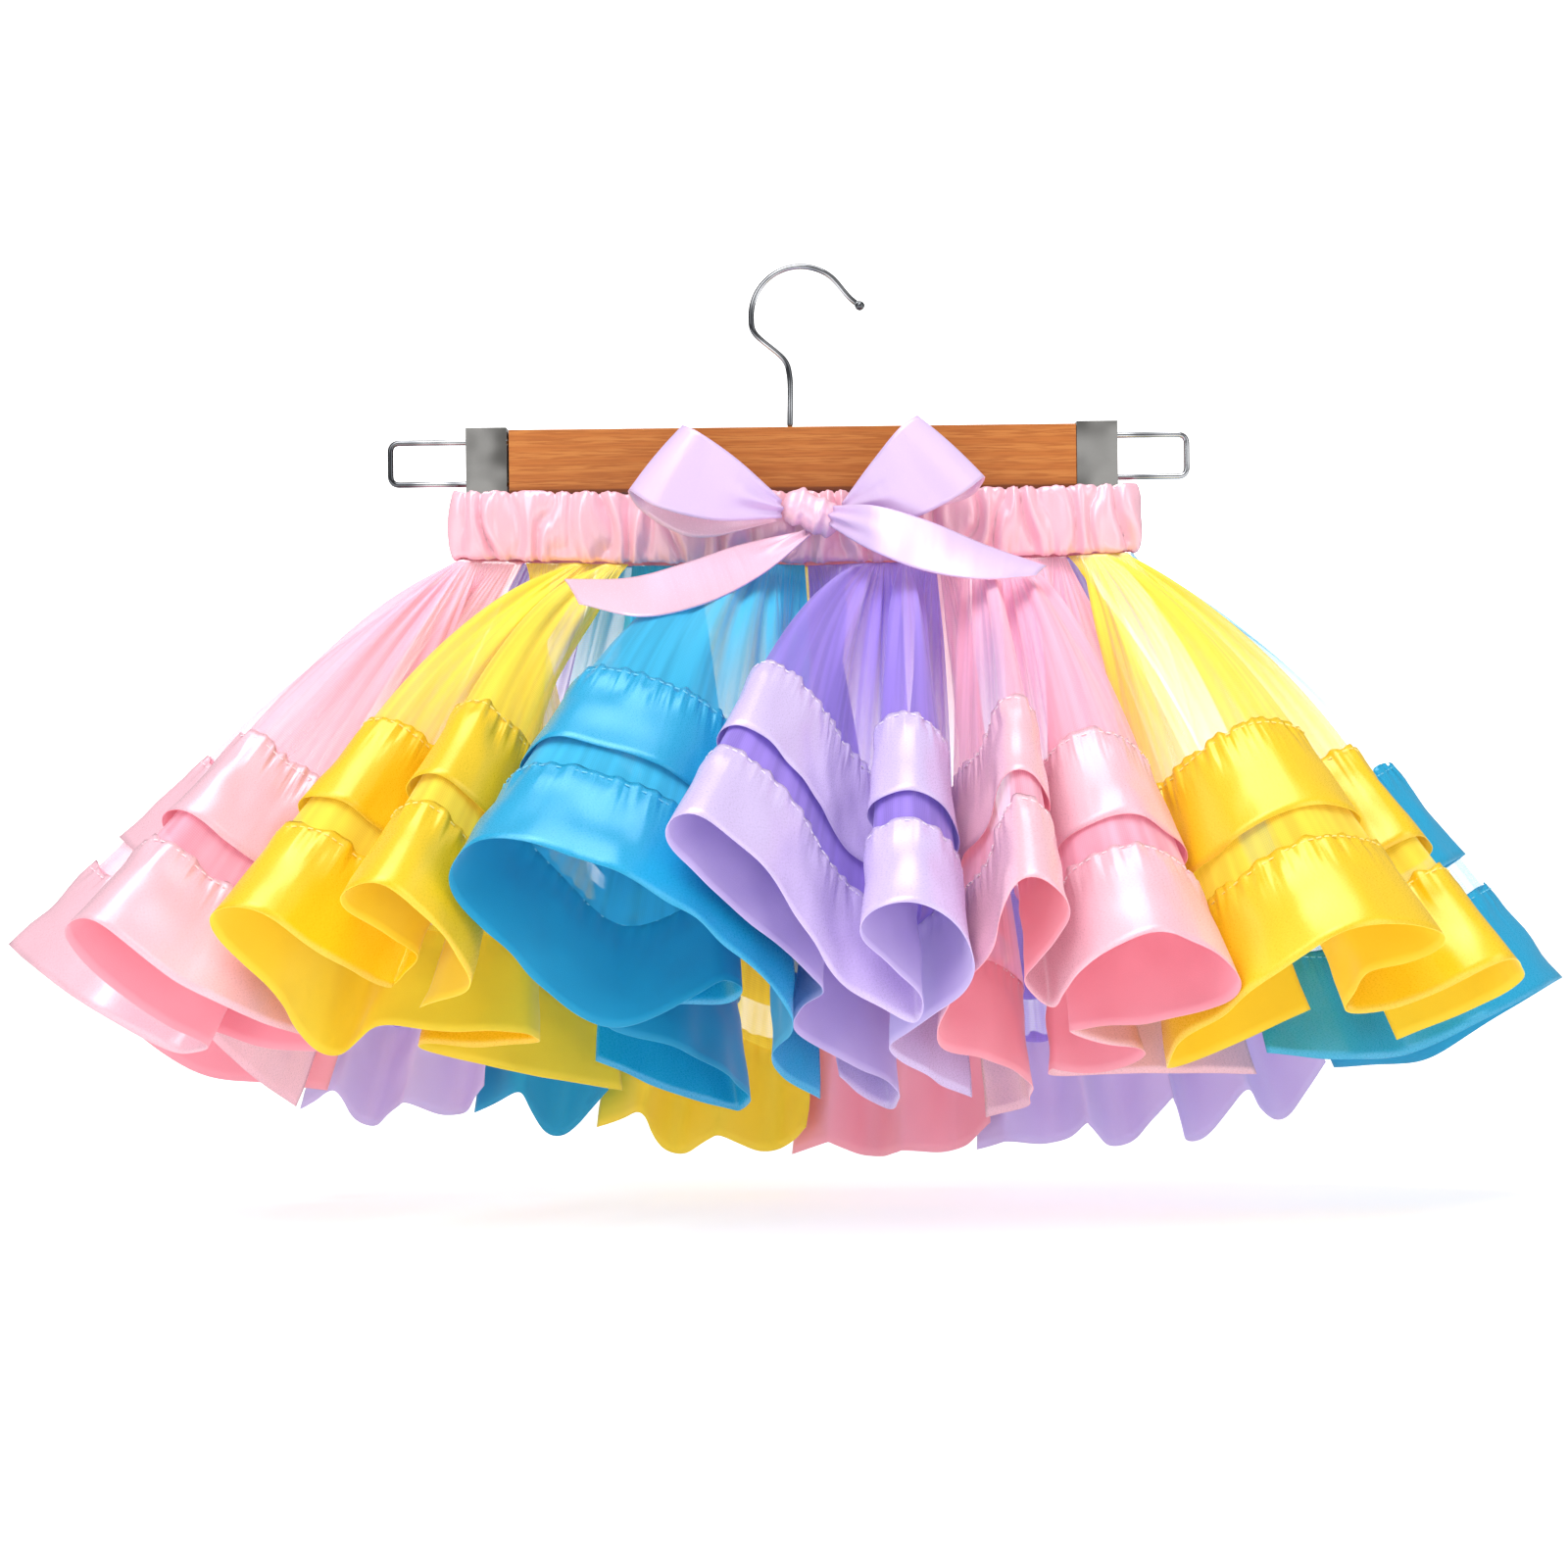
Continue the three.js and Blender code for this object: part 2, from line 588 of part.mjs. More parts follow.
const skirt = new THREE.Group();
skirt.name = 'skirt';
skirt.add(waistband());
FRONT_PANELS.forEach((panel) => skirt.add(...panelMeshes({ ...panel, side: 'front' })));
BACK_PANELS.forEach((panel) => skirt.add(...panelMeshes({
  ...panel, side: 'back', swell: 0.03, turns: backTurns(panel),
})));
Object.keys(BOW_STRIPS).forEach((name) => skirt.add(bowStrip(name)));
skirt.add(bowKnot());

const hanger = new THREE.Group();
hanger.name = 'hanger';
hanger.add(hangerBar(), hook());
['left', 'right'].forEach((side) => hanger.add(clip(side), wireLoop(side)));

const part = new THREE.Group();
part.name = 'tutu_skirt_on_hanger';
part.add(skirt, hanger);

export default part;
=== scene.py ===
# %% [markdown]
# A child's tulle skirt hangs by its waistband from a clip hanger. Twelve panels of sheer tulle are
# gathered into a satin waistband. Each carries two satin ribbons, and a ribbon bow sits in front.
# Cloth simulation could drape it, but it would not fall into the folds that the real one shows. So
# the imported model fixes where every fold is, and this script lays finer cloth over the same lines.

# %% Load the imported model
import math

import bmesh
import bpy
import numpy as np
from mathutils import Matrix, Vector


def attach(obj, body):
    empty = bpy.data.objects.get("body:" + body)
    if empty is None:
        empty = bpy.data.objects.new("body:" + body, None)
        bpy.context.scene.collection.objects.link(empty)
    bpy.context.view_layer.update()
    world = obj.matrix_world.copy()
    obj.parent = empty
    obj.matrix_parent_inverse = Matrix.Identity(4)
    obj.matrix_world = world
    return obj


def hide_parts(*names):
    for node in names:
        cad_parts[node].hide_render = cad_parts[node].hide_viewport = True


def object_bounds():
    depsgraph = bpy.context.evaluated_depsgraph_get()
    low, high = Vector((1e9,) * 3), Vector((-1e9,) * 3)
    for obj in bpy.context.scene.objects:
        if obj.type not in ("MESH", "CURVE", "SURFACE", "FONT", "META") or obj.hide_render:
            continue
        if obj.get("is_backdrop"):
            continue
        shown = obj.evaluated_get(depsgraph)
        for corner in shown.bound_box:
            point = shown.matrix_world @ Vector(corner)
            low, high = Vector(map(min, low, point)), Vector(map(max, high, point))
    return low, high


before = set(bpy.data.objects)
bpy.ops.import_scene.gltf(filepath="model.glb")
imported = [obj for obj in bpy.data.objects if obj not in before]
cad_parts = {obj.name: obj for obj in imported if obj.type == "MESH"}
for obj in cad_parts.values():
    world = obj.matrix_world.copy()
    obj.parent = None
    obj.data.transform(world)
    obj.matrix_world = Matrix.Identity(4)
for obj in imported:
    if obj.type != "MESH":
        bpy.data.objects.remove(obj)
cad_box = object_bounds()
print("packed nodes:", len(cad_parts))

# %% [markdown]
# The camera looks at the skirt from the front, 1.6 m away, level with its middle. The picture is
# slightly askew, so the camera is rolled by the same small angle and the skirt itself stays level.
# The lens is worked out from the width of the view, which is easier to measure than a focal length.

# %% Camera
MM = 0.001
CAMERA_PLACE = (-9.4, -1600, -220.4)
CAMERA_ROLL = 0.65
FIELD_WIDTH = 672
SENSOR = 36

camera_data = bpy.data.cameras.new("camera")
camera_data.sensor_width = SENSOR
camera_data.lens = SENSOR * -CAMERA_PLACE[1] / FIELD_WIDTH
camera_data.clip_start = 0.05
camera = bpy.data.objects.new("camera", camera_data)
camera.location = Vector(CAMERA_PLACE) * MM
camera.rotation_euler = (math.radians(90), math.radians(CAMERA_ROLL), 0)
bpy.context.scene.collection.objects.link(camera)
bpy.context.scene.camera = camera
print("lens:", round(camera_data.lens, 1), "mm")

# %% [markdown]
# The waist is a flat oval held straight by the clips. An ellipse would be too round in the middle, so
# its depth follows a low power of the sine, which keeps the two sides nearly flat. An angle of 0 is
# its left end, 90 the middle of the front, and 180 the right end. The seam runs a little higher at
# the two ends.

# %% The waist line
WAIST_CENTRE = -3.5
WAIST_HALF = 144.3
WAIST_DEPTH = 15
WAIST_SQUARENESS = 0.35
SEAM_HEIGHT = -127.4
SEAM_LIFT = 4


def waist_points(degrees):
    angle = np.radians(np.asarray(degrees, float))
    across = np.cos(angle)
    out = np.sin(angle)
    return np.stack([
        WAIST_CENTRE - WAIST_HALF * across,
        -WAIST_DEPTH * np.sign(out) * np.abs(out) ** WAIST_SQUARENESS,
        SEAM_HEIGHT + SEAM_LIFT * across ** 2,
    ], axis=-1)


print("waist ends:", waist_points([0, 180]).round(1).tolist())

# %% [markdown]
# Each panel is told by the folds of its hem, from one side edge to the other. A fold that faces the
# viewer stands out as far as the cloth's length allows, so its depth needs no number. A fold that
# lies under another is drawn back by its tuck, and one that hangs behind has a set depth instead.
# Sculpting would also give these folds, but a table can be read, checked and changed.

# %% The folds of the front panels
# x and z place the fold, bow lifts the middle of the stretch to the next one, tuck draws it back,
# and depth, where it is given, sets y.
FRONT_FOLDS = {
    "pink_left": [
        (-207, -350, 0, None, 4),
        (-260, -342, 0, None, -6),
        (-335, -285, -1, None, -31),
        (-256, -330, 0, 29, None),
        (-239, -325, -6, 32, None),
        (-288, -276, 1, 0, None),
        (-274, -270, -3, 0, None),
        (-231, -302, -1, 7, None),
        (-194, -324, -5, 66, None),
        (-251, -317, -2, 64, None),
        (-222, -355, 0, 56, None),
    ],
    "yellow_left": [
        (-76, -346, -1, 81, None),
        (-158, -324, -2, 69, None),
        (-104, -322, -1, 61, None),
        (-109, -316, -1, 52, None),
        (-174, -312, -1, 39, None),
        (-189, -327, 3, 20, None),
        (-229, -269, 8, 0, None),
        (-190, -282, -1, 11, None),
        (-161, -300, 2, 40, None),
        (-147, -286, 0, 37, None),
        (-174, -262, 1, 0, None),
        (-160, -255, 5, 0, None),
        (-129, -293, -1, 3, None),
        (-152, -304, 0, 18, None),
    ],
    "blue_front": [
        (-88, -332, -2, 76, None),
        (-28, -356, 0, 63, None),
        (-21, -348, 7, 58, None),
        (-81, -314, 3, 57, None),
        (-31, -307, -1, 55, None),
        (-22, -298, -1, 48, None),
        (-32, -293, -4, 42, None),
        (-79, -311, -5, 4, None),
        (-134, -254, 2, 0, None),
        (-122, -241, 19, 0, None),
        (-8, -310, 0, 0, None),
        (-19, -326, -3, 20, None),
        (2, -346, 0, 33, None),
    ],
    "lilac_front": [
        (9, -339, -3, 64, None),
        (34, -355, 0, 55, None),
        (40, -346, 1, 48, None),
        (-5, -316, 3, 39, None),
        (8, -299, -1, 23, None),
        (-52, -238, 1, 0, None),
        (-44, -231, 9, 0, None),
        (8, -294, -2, 0, None),
        (41, -314, -2, 2, None),
        (45, -301, 0, 5, None),
        (18, -275, 17, 2, None),
        (59, -289, -3, 2, None),
        (27, -323, -2, 24, None),
        (62, -347, 0, 38, None),
    ],
    "pink_right": [
        (74, -359, 0, 62, None),
        (91, -353, 0, 53, None),
        (92, -343, 5, 45, None),
        (52, -324, 10, 28, None),
        (67, -289, 23, 6, None),
        (93, -267, -4, 0, None),
        (77, -296, -2, 19, None),
        (92, -309, -3, 19, None),
        (106, -287, 16, 0, None),
        (161, -302, -3, 0, None),
        (94, -316, -2, 22, None),
        (130, -328, -6, 34, None),
        (93, -333, 0, 45, None),
        (92, -339, 1, 53, None),
        (182, -342, 0, 60, None),
    ],
    "yellow_right": [
        (200, -311, -1, 51, None),
        (142, -334, -4, 30, None),
        (143, -323, -2, 13, None),
        (174, -296, 13, 0, None),
        (242, -284, -2, 0, None),
        (212, -294, 0, 16, None),
        (206, -313, -1, 26, None),
        (224, -313, -2, 18, None),
        (272, -292, 0, 1, None),
        (283, -303, -1, 7, None),
        (234, -325, 0, 26, None),
    ],
    "blue_right": [
        (181, -331, -2, 43, None),
        (245, -334, 2, 21, None),
        (318, -307, 0, None, -20),
        (264, -344, 0, None, 12),
        (229, -348, 0, None, 34),
    ],
}
print("folds:", {name: len(rows) for name, rows in FRONT_FOLDS.items()})

# %% The front panels along the waist
# start and end are angles at the waist, swell is how far the panel puffs out over its chord.
FRONT_PANELS = {
    "pink_left": (-33, 36.5, 0.05),
    "yellow_left": (37, 60.6, 0.075),
    "blue_front": (61.1, 91.6, 0.09),
    "lilac_front": (92.1, 114.6, 0.07),
    "pink_right": (115.1, 143.2, 0.07),
    "yellow_right": (143.7, 169.5, 0.08),
    "blue_right": (172.5, 211, 0.095),
}
print("front panels:", list(FRONT_PANELS))

# %% [markdown]
# The back panels hang almost straight down in pleats, so a few numbers describe each of them, where
# the front needed a table. A small wander moves every fold but the outermost two off its even place,
# and the side edges hang a little shorter than the folds between them.

# %% The back panels
# start and end at the waist, x from and to, z of the near pleats and of the far ones, and the pleats.
BACK_PANELS = {
    "lilac_back_right": (211.5, 238, (223, 71), (-350, -374), (-372, -388), 9),
    "pink_back": (238.5, 262, (77, -10), (-374, -376), (-387, -389), 5),
    "yellow_back": (262.5, 285, (-3, -95), (-375, -363), (-390, -376), 5),
    "blue_back": (285.5, 306, (-88, -149), (-358, -355), (-373, -369), 3),
    "lilac_back_left": (306.5, 325, (-143, -226), (-355, -354), (-371, -366), 5),
}
PLEAT_DEPTHS = (16, 38)
PLEAT_WANDER_X = 4
PLEAT_WANDER_Z = 5
EDGE_LIFT = 6
PLEAT_TURN = 2.4
BACK_SWELL = 0.03


def back_folds(start, x_ends, near, far, pleats):
    rows = []
    for i in range(pleats + 1):
        along = i / pleats
        z_ends = near if i % 2 == 0 else far
        stray = math.sin(PLEAT_TURN * i + start) if 0 < i < pleats else 0
        x = np.interp(along, (0, 1), x_ends) + PLEAT_WANDER_X * stray
        lift = EDGE_LIFT if i in (0, pleats) else PLEAT_WANDER_Z * stray
        z = np.interp(along, (0, 1), z_ends) + lift
        rows.append((x, z, 0, None, PLEAT_DEPTHS[i % 2]))
    return rows


print("back panels:", list(BACK_PANELS))

# %% [markdown]
# A smooth line through the folds gives the hem. A centripetal spline passes through every fold with
# no overshoot, and a few rounds of averaging open the tight turns as real ribbon would.

# %% From folds to a smooth hem line
CLOTH_LENGTH = 260
REACH = 0.985
ROUNDING_PASSES = 60


def reach_out(x, z, seam):
    """How far in front of the seam a fold stands when the cloth between them is drawn straight."""
    spare = (CLOTH_LENGTH * REACH) ** 2 - (x - seam[..., 0]) ** 2 - (z - seam[..., 2]) ** 2
    return np.sqrt(np.maximum(spare, 0))


def with_middles(rows):
    """The folds as (x, z, tuck, depth), with a point halfway between each two."""
    points = []
    for here, after in zip(rows, rows[1:]):
        points.append((here[0], here[1], here[3], here[4]))
        both_set = here[4] is not None and after[4] is not None
        points.append((
            (here[0] + after[0]) / 2,
            (here[1] + after[1]) / 2 + here[2],
            ((here[3] or 0) + (after[3] or 0)) / 2,
            (here[4] + after[4]) / 2 if both_set else None,
        ))
    last = rows[-1]
    return points + [(last[0], last[1], last[3], last[4])]


def spline(points, steps=40):
    """A centripetal Catmull-Rom spline through the points."""
    ends = [2 * points[0] - points[1], 2 * points[-1] - points[-2]]
    p = np.vstack([ends[0], points, ends[1]])
    gaps = np.maximum(np.linalg.norm(np.diff(p, axis=0), axis=1) ** 0.5, 1e-4)
    t = np.arange(steps)[:, None] / steps
    pieces = []
    for i in range(1, len(p) - 2):
        before, here, after = gaps[i - 1], gaps[i], gaps[i + 1]
        stretch = (p[i + 1] - p[i]) / here
        leave = (p[i] - p[i - 1]) / before - (p[i + 1] - p[i - 1]) / (before + here) + stretch
        arrive = stretch - (p[i + 2] - p[i]) / (here + after) + (p[i + 2] - p[i + 1]) / after
        leave, arrive = leave * here, arrive * here
        square = -3 * p[i] + 3 * p[i + 1] - 2 * leave - arrive
        cube = 2 * p[i] - 2 * p[i + 1] + leave + arrive
        pieces.append(p[i] + leave * t + square * t ** 2 + cube * t ** 3)
    return np.vstack(pieces + [points[-1:]])


def travelled(line):
    """Distance along a line at each of its points."""
    return np.concatenate([[0], np.cumsum(np.linalg.norm(np.diff(line, axis=0), axis=1))])


def evenly(line, count):
    """The same line with count equal steps."""
    distance = travelled(line)
    wanted = np.linspace(0, distance[-1], count + 1)
    return np.stack([np.interp(wanted, distance, line[:, k]) for k in range(3)], axis=1)


def hem_line(rows, start, end):
    """Points about 1 mm apart along the hem of the panel between two angles of the waist."""
    points = with_middles(rows)
    flat = np.array([(x, 0, z) for x, z, _, _ in points], float)
    share = travelled(flat)
    share /= share[-1]
    folds = []
    for (x, z, tuck, depth), at in zip(points, share):
        seam = waist_points(start + (end - start) * at)
        y = seam[1] - reach_out(x, z, seam) + (tuck or 0) if depth is None else depth
        folds.append((x, y, z))
    line = spline(np.array(folds, float))
    line = evenly(line, round(travelled(line)[-1]))
    for _ in range(ROUNDING_PASSES):
        line[1:-1] = (line[:-2] + 2 * line[1:-1] + line[2:]) / 4
    return line


print("one hem line:", hem_line(FRONT_FOLDS["blue_front"], 61, 92).shape)

# %% [markdown]
# Between the waist seam and the hem the cloth first arches outwards and then runs straight, as a
# stiff ribbon holds its lower part flat. Every layer uses this same surface: the tulle lies on it,
# and the ribbons lie on the tulle, pushed out along the surface's own normals.

# %% The surface of one panel
SEAM_PLEAT = 0.2
SEAM_RISE = {"front": 0.3, "back": 0.8}
STRAIGHT_FROM = 145
COLUMN_STEP = 2.0


def swell_at(along):
    """Height of the arch between the seam, at 0, and the hem, at 1."""
    bend = STRAIGHT_FROM / CLOTH_LENGTH
    rise = 2 * bend - bend ** 2
    height = np.where(along <= bend, rise * along - along ** 2, (rise - 2 * bend) * (along - 1))
    return height / (rise / 2) ** 2


class Panel:
    """One panel of the skirt: its seam and hem, and the cloth between them."""

    def __init__(self, name, rows, start, end, swell, rise):
        self.name = name
        self.colour = name.split("_")[0]
        self.swell = swell
        line = hem_line(rows, start, end)
        share = np.linspace(0, 1, len(line))
        degrees = start + (end - start) * share
        seam = waist_points(degrees)
        full = seam[:, 1] - reach_out(line[:, 0], line[:, 2], seam)
        facing = np.maximum(np.sin(np.radians(degrees)), 0)
        seam[:, 2] += rise
        seam[:, 1] += SEAM_PLEAT * facing * (line[:, 1] - full)
        every = np.linspace(0, len(line) - 1, round((len(line) - 1) / COLUMN_STEP) + 1)
        steps = np.arange(len(line))
        self.seam, self.hem = (
            np.stack([np.interp(every, steps, edge[:, k]) for k in range(3)], axis=1)
            for edge in (seam, line)
        )
        self.along_hem = travelled(self.hem)

    def points(self, distances):
        """Rows of points at these distances from the seam, one column for each step of the hem."""
        chord = self.hem - self.seam
        length = np.linalg.norm(chord, axis=1, keepdims=True)
        level = chord * (1, 1, 0)
        flare = np.linalg.norm(level, axis=1, keepdims=True) / length
        level /= np.maximum(np.linalg.norm(level, axis=1, keepdims=True), 1e-6)
        normal = level * (-chord[:, 2:] / length) + flare * (0, 0, 1)
        rows = np.asarray(distances, float)
        along = rows.reshape(len(rows), -1, 1) / CLOTH_LENGTH
        height = self.swell * CLOTH_LENGTH * flare * swell_at(along)
        return self.seam + chord * along + normal * height

    def normals(self, grid):
        """Outward normals of a grid of points whose rows run down the cloth."""
        down = np.gradient(grid, axis=0)
        across = np.gradient(grid, axis=1)
        normal = np.cross(down, across)
        return normal / np.maximum(np.linalg.norm(normal, axis=2, keepdims=True), 1e-9)

    def lifted(self, distances, height):
        """The same rows, pushed out by a height that may vary over the grid."""
        grid = self.points(distances)
        return grid + self.normals(grid) * height


panels = [
    Panel(name, FRONT_FOLDS[name], start, end, swell, SEAM_RISE["front"])
    for name, (start, end, swell) in FRONT_PANELS.items()
]
panels += [
    Panel(name, back_folds(start, *shape), start, end, BACK_SWELL, SEAM_RISE["back"])
    for name, (start, end, *shape) in BACK_PANELS.items()
]
print("hem lengths in mm:", {panel.name: round(panel.along_hem[-1]) for panel in panels})

# %% [markdown]
# Colours are written as the hex values of a picture. Blender works in linear light, so a small
# function turns one into the other.

# %% Colours
def paint(code):
    """A hex colour as four linear values."""
    parts = [int(code[i:i + 2], 16) / 255 for i in (0, 2, 4)]
    return [c / 12.92 if c <= 0.04045 else ((c + 0.055) / 1.055) ** 2.4 for c in parts] + [1]


NET_COLOURS = {"pink": "FFBCD2", "yellow": "FFE248", "blue": "34B2DC", "lilac": "9A80DE"}
SATIN_COLOURS = {"pink": "F5C2D0", "yellow": "FCCE1C", "blue": "1AA6D6", "lilac": "D6C4F0"}
UNDERSIDE_COLOURS = {"pink": "FBA8B8", "yellow": "FFDA34", "blue": "129CCA", "lilac": "D0BEF0"}
print("pink net, linear:", [round(c, 2) for c in paint(NET_COLOURS["pink"])])

# %% [markdown]
# Materials could be wired by hand in the shader editor, but a formula shows in one line what a finish
# does. Term wraps a shader socket so that plus, minus and times make the Math nodes, and Finish holds
# one material with a single method for every other node.

# %% Materials as formulas
class Term:
    """A number that varies over the surface."""

    def __init__(self, finish, socket):
        self.finish = finish
        self.socket = socket

    def _maths(self, operation, first, second):
        return self.finish.node("ShaderNodeMath", {"operation": operation}, {0: first, 1: second})

    def __add__(self, other):
        return self._maths("ADD", self, other)

    def __sub__(self, other):
        return self._maths("SUBTRACT", self, other)

    def __rsub__(self, other):
        return self._maths("SUBTRACT", other, self)

    def __mul__(self, other):
        return self._maths("MULTIPLY", self, other)

    def sine(self):
        return self.finish.node("ShaderNodeMath", {"operation": "SINE"}, {0: self})

    def size(self):
        return self.finish.node("ShaderNodeMath", {"operation": "ABSOLUTE"}, {0: self})

    def between(self, low, high, to_low=0.0, to_high=1.0):
        """A soft step from to_low at low to to_high at high."""
        spread = {"From Min": low, "From Max": high, "To Min": to_low, "To Max": to_high}
        soft = {"interpolation_type": "SMOOTHSTEP"}
        return self.finish.node("ShaderNodeMapRange", soft, {"Value": self, **spread})

    __radd__ = __add__
    __rmul__ = __mul__


class Finish:
    """One material: a Principled shader and the formulas that feed it."""

    def __init__(self, name, **settings):
        self.material = bpy.data.materials.new(name)
        self.material.use_nodes = True
        self.tree = self.material.node_tree
        self.shader = self.tree.nodes["Principled BSDF"]
        for socket, value in settings.items():
            self.shader.inputs[socket.replace("_", " ")].default_value = value

    def node(self, kind, settings=None, inputs=None, output=0):
        made = self.tree.nodes.new(kind)
        for key, value in (settings or {}).items():
            setattr(made, key, value)
        for key, value in (inputs or {}).items():
            if isinstance(value, Term):
                self.tree.links.new(value.socket, made.inputs[key])
            else:
                made.inputs[key].default_value = value
        return Term(self, made.outputs[output])

    def feed(self, socket, value):
        self.tree.links.new(value.socket, self.shader.inputs[socket])

    def along_and_down(self):
        """Metres along the hem and down from the seam, from the piece's own UV map."""
        uv = self.node("ShaderNodeUVMap", {"uv_map": "cloth"})
        both = self.tree.nodes.new("ShaderNodeSeparateXYZ")
        self.tree.links.new(uv.socket, both.inputs[0])
        return Term(self, both.outputs[0]), Term(self, both.outputs[1])

    def speckle(self, x, y=0.0, z=0.0, detail=2.0):
        """Noise between 0 and 1 at a point made of three terms."""
        point = self.node("ShaderNodeCombineXYZ", None, {0: x, 1: y, 2: z})
        noise = {"Vector": point, "Scale": 1.0, "Detail": detail}
        return self.node("ShaderNodeTexNoise", None, noise)

    def blend(self, share, first, second):
        """A colour between two others."""
        colours = {0: share, 6: first, 7: second}
        return self.node("ShaderNodeMix", {"data_type": "RGBA"}, colours, output=2)

    def relief(self, height, depth, strength=1.0):
        """Bumps from a height between 0 and 1 and a depth in metres."""
        bump = {"Height": height, "Distance": depth, "Strength": strength}
        self.feed("Normal", self.node("ShaderNodeBump", None, bump))


print("shader helpers ready")

# %% [markdown]
# Tulle is a net of fine threads that lets the light through. Single threads are too small to see at
# this size, so the cloth is partly see-through, with soft streaks down its length where it is
# gathered. A net of real threads would need millions of faces, and a finish shows the same cloud of
# colour. It is denser near the seam, where many folds lie together, and each panel is gathered more
# or less tightly than the next. The little light that it gives off stands for the light that wanders
# between its layers.

# %% Tulle
def shade(code, share):
    """The same colour, made darker or lighter."""
    return [min(c * share, 1) for c in paint(code)[:3]] + [1]


# How much of the light a panel's tulle stops, away from the seam.
NET_COVER = {
    "pink_left": 0.34, "yellow_left": 0.46, "blue_front": 0.6, "lilac_front": 0.54,
    "pink_right": 0.42, "yellow_right": 0.38, "blue_right": 0.12,
}
BACK_COVER = 0.3
# How much more it stops at the seam and behind the ribbons, in front and at the back.
SEAM_COVER = (0.35, 0.55)
RIBBON_COVER = (0.15, 0.45)
STREAKS_PER_METRE = 150
CELLS = 3100


def tulle_finish(panel):
    code = NET_COLOURS[panel.colour]
    cover = NET_COVER.get(panel.name, BACK_COVER)
    net = Finish("net_" + panel.name, Roughness=0.6, Sheen_Weight=0.25, Specular_IOR_Level=0.2,
                 Emission_Strength=0.12)
    net.shader.inputs["Emission Color"].default_value = paint(code)
    along, down = net.along_and_down()
    streaks = net.speckle(along * STREAKS_PER_METRE, down * 6, detail=1.0)
    cells = ((along * CELLS).sine() * (down * CELLS).sine()).size()
    side = 0 if panel.name in NET_COVER else 1
    near_seam = down.between(0.0, 0.15, SEAM_COVER[side], 0.0)
    by_ribbons = down.between(0.17, 0.2, 0.0, RIBBON_COVER[side])
    streaked = streaks.between(0.3, 0.7, cover - 0.08, cover + 0.1)
    net.feed("Alpha", streaked + near_seam + by_ribbons + cells * 0.14)
    net.feed("Base Color", net.blend(streaks.between(0.3, 0.7), shade(code, 0.96), shade(code, 1.06)))
    net.relief(streaks, 0.0003, 0.3)
    net.material.surface_render_method = "DITHERED"
    return net.material


nets = {panel.name: tulle_finish(panel) for panel in panels}
print("nets:", len(nets))

# %% [markdown]
# Satin ribbon shines on its outer face and is dull on its inner one. A metal would shine as much but
# turn dark between its highlights, so the cloth keeps a plain colour under a strong gloss: a high
# index of refraction, and highlights tinted by the dye. Short creases run down from each stitched
# upper edge and fade, and the rest of the ribbon is only faintly wavy.

# %% Satin and its underside
# Changes in a metre, along the ribbon and down it.
WEAVE = (900, 5200)
CREASES = (210, 20)
WAVES = (60, 30)
# Metres down from the seam between which the creases under each thread fade, or begin at the hem.
UPPER_FADE = (0.15, 0.168)
HEM_BEGIN = (0.2085, 0.2095)
HEM_FADE = (0.215, 0.233)
CREASE_DEPTH = 0.0022


def satin_finish(name, code, shine=0.24, drawn_up=1.0):
    """shine is the roughness of the gloss, drawn_up the strength of the creases under a thread."""
    satin = Finish(name, IOR=1.9, Specular_IOR_Level=0.9, Anisotropic=0.3)
    tint = [0.35 + 0.65 * c for c in paint(code)[:3]] + [1]
    satin.shader.inputs["Specular Tint"].default_value = tint
    along, down = satin.along_and_down()
    weave, creases, waves = (
        satin.speckle(along * x, down * y, detail=1.0) for x, y in (WEAVE, CREASES, WAVES)
    )
    under_upper = down.between(*UPPER_FADE, 1.0, 0.0)
    under_hem = down.between(*HEM_BEGIN) * down.between(*HEM_FADE, 1.0, 0.0)
    satin.feed("Base Color", satin.blend(weave, shade(code, 0.94), shade(code, 1.05)))
    satin.feed("Roughness", weave * 0.08 + shine)
    creased = creases * ((under_upper + under_hem) * drawn_up + 0.12)
    satin.relief(creased + waves * 0.7 + weave * 0.04, CREASE_DEPTH, 0.5)
    return satin.material


def underside_finish(name, code):
    dull = Finish(name, Specular_IOR_Level=0.35, Sheen_Weight=0.2)
    along, down = dull.along_and_down()
    weave = dull.speckle(along * 2600, down * 2600, detail=1.0)
    dull.feed("Base Color", dull.blend(weave, shade(code, 0.94), shade(code, 1.06)))
    dull.feed("Roughness", weave * 0.1 + 0.5)
    dull.relief(weave, 0.0002, 0.4)
    return dull.material


satins = {colour: satin_finish("satin_" + colour, code) for colour, code in SATIN_COLOURS.items()}
undersides = {
    colour: underside_finish("underside_" + colour, code) for colour, code in UNDERSIDE_COLOURS.items()
}
print("satins:", list(satins))

# %% [markdown]
# Every cloth piece is a grid of points. With a second grid behind it the piece becomes a thin closed
# shell, whose back has a material of its own. A Solidify modifier could add the thickness too, but
# with two grids the script says where each side of the cloth lies. Each point also keeps its place on
# the cloth in metres as a UV, so weave and creases keep their size.

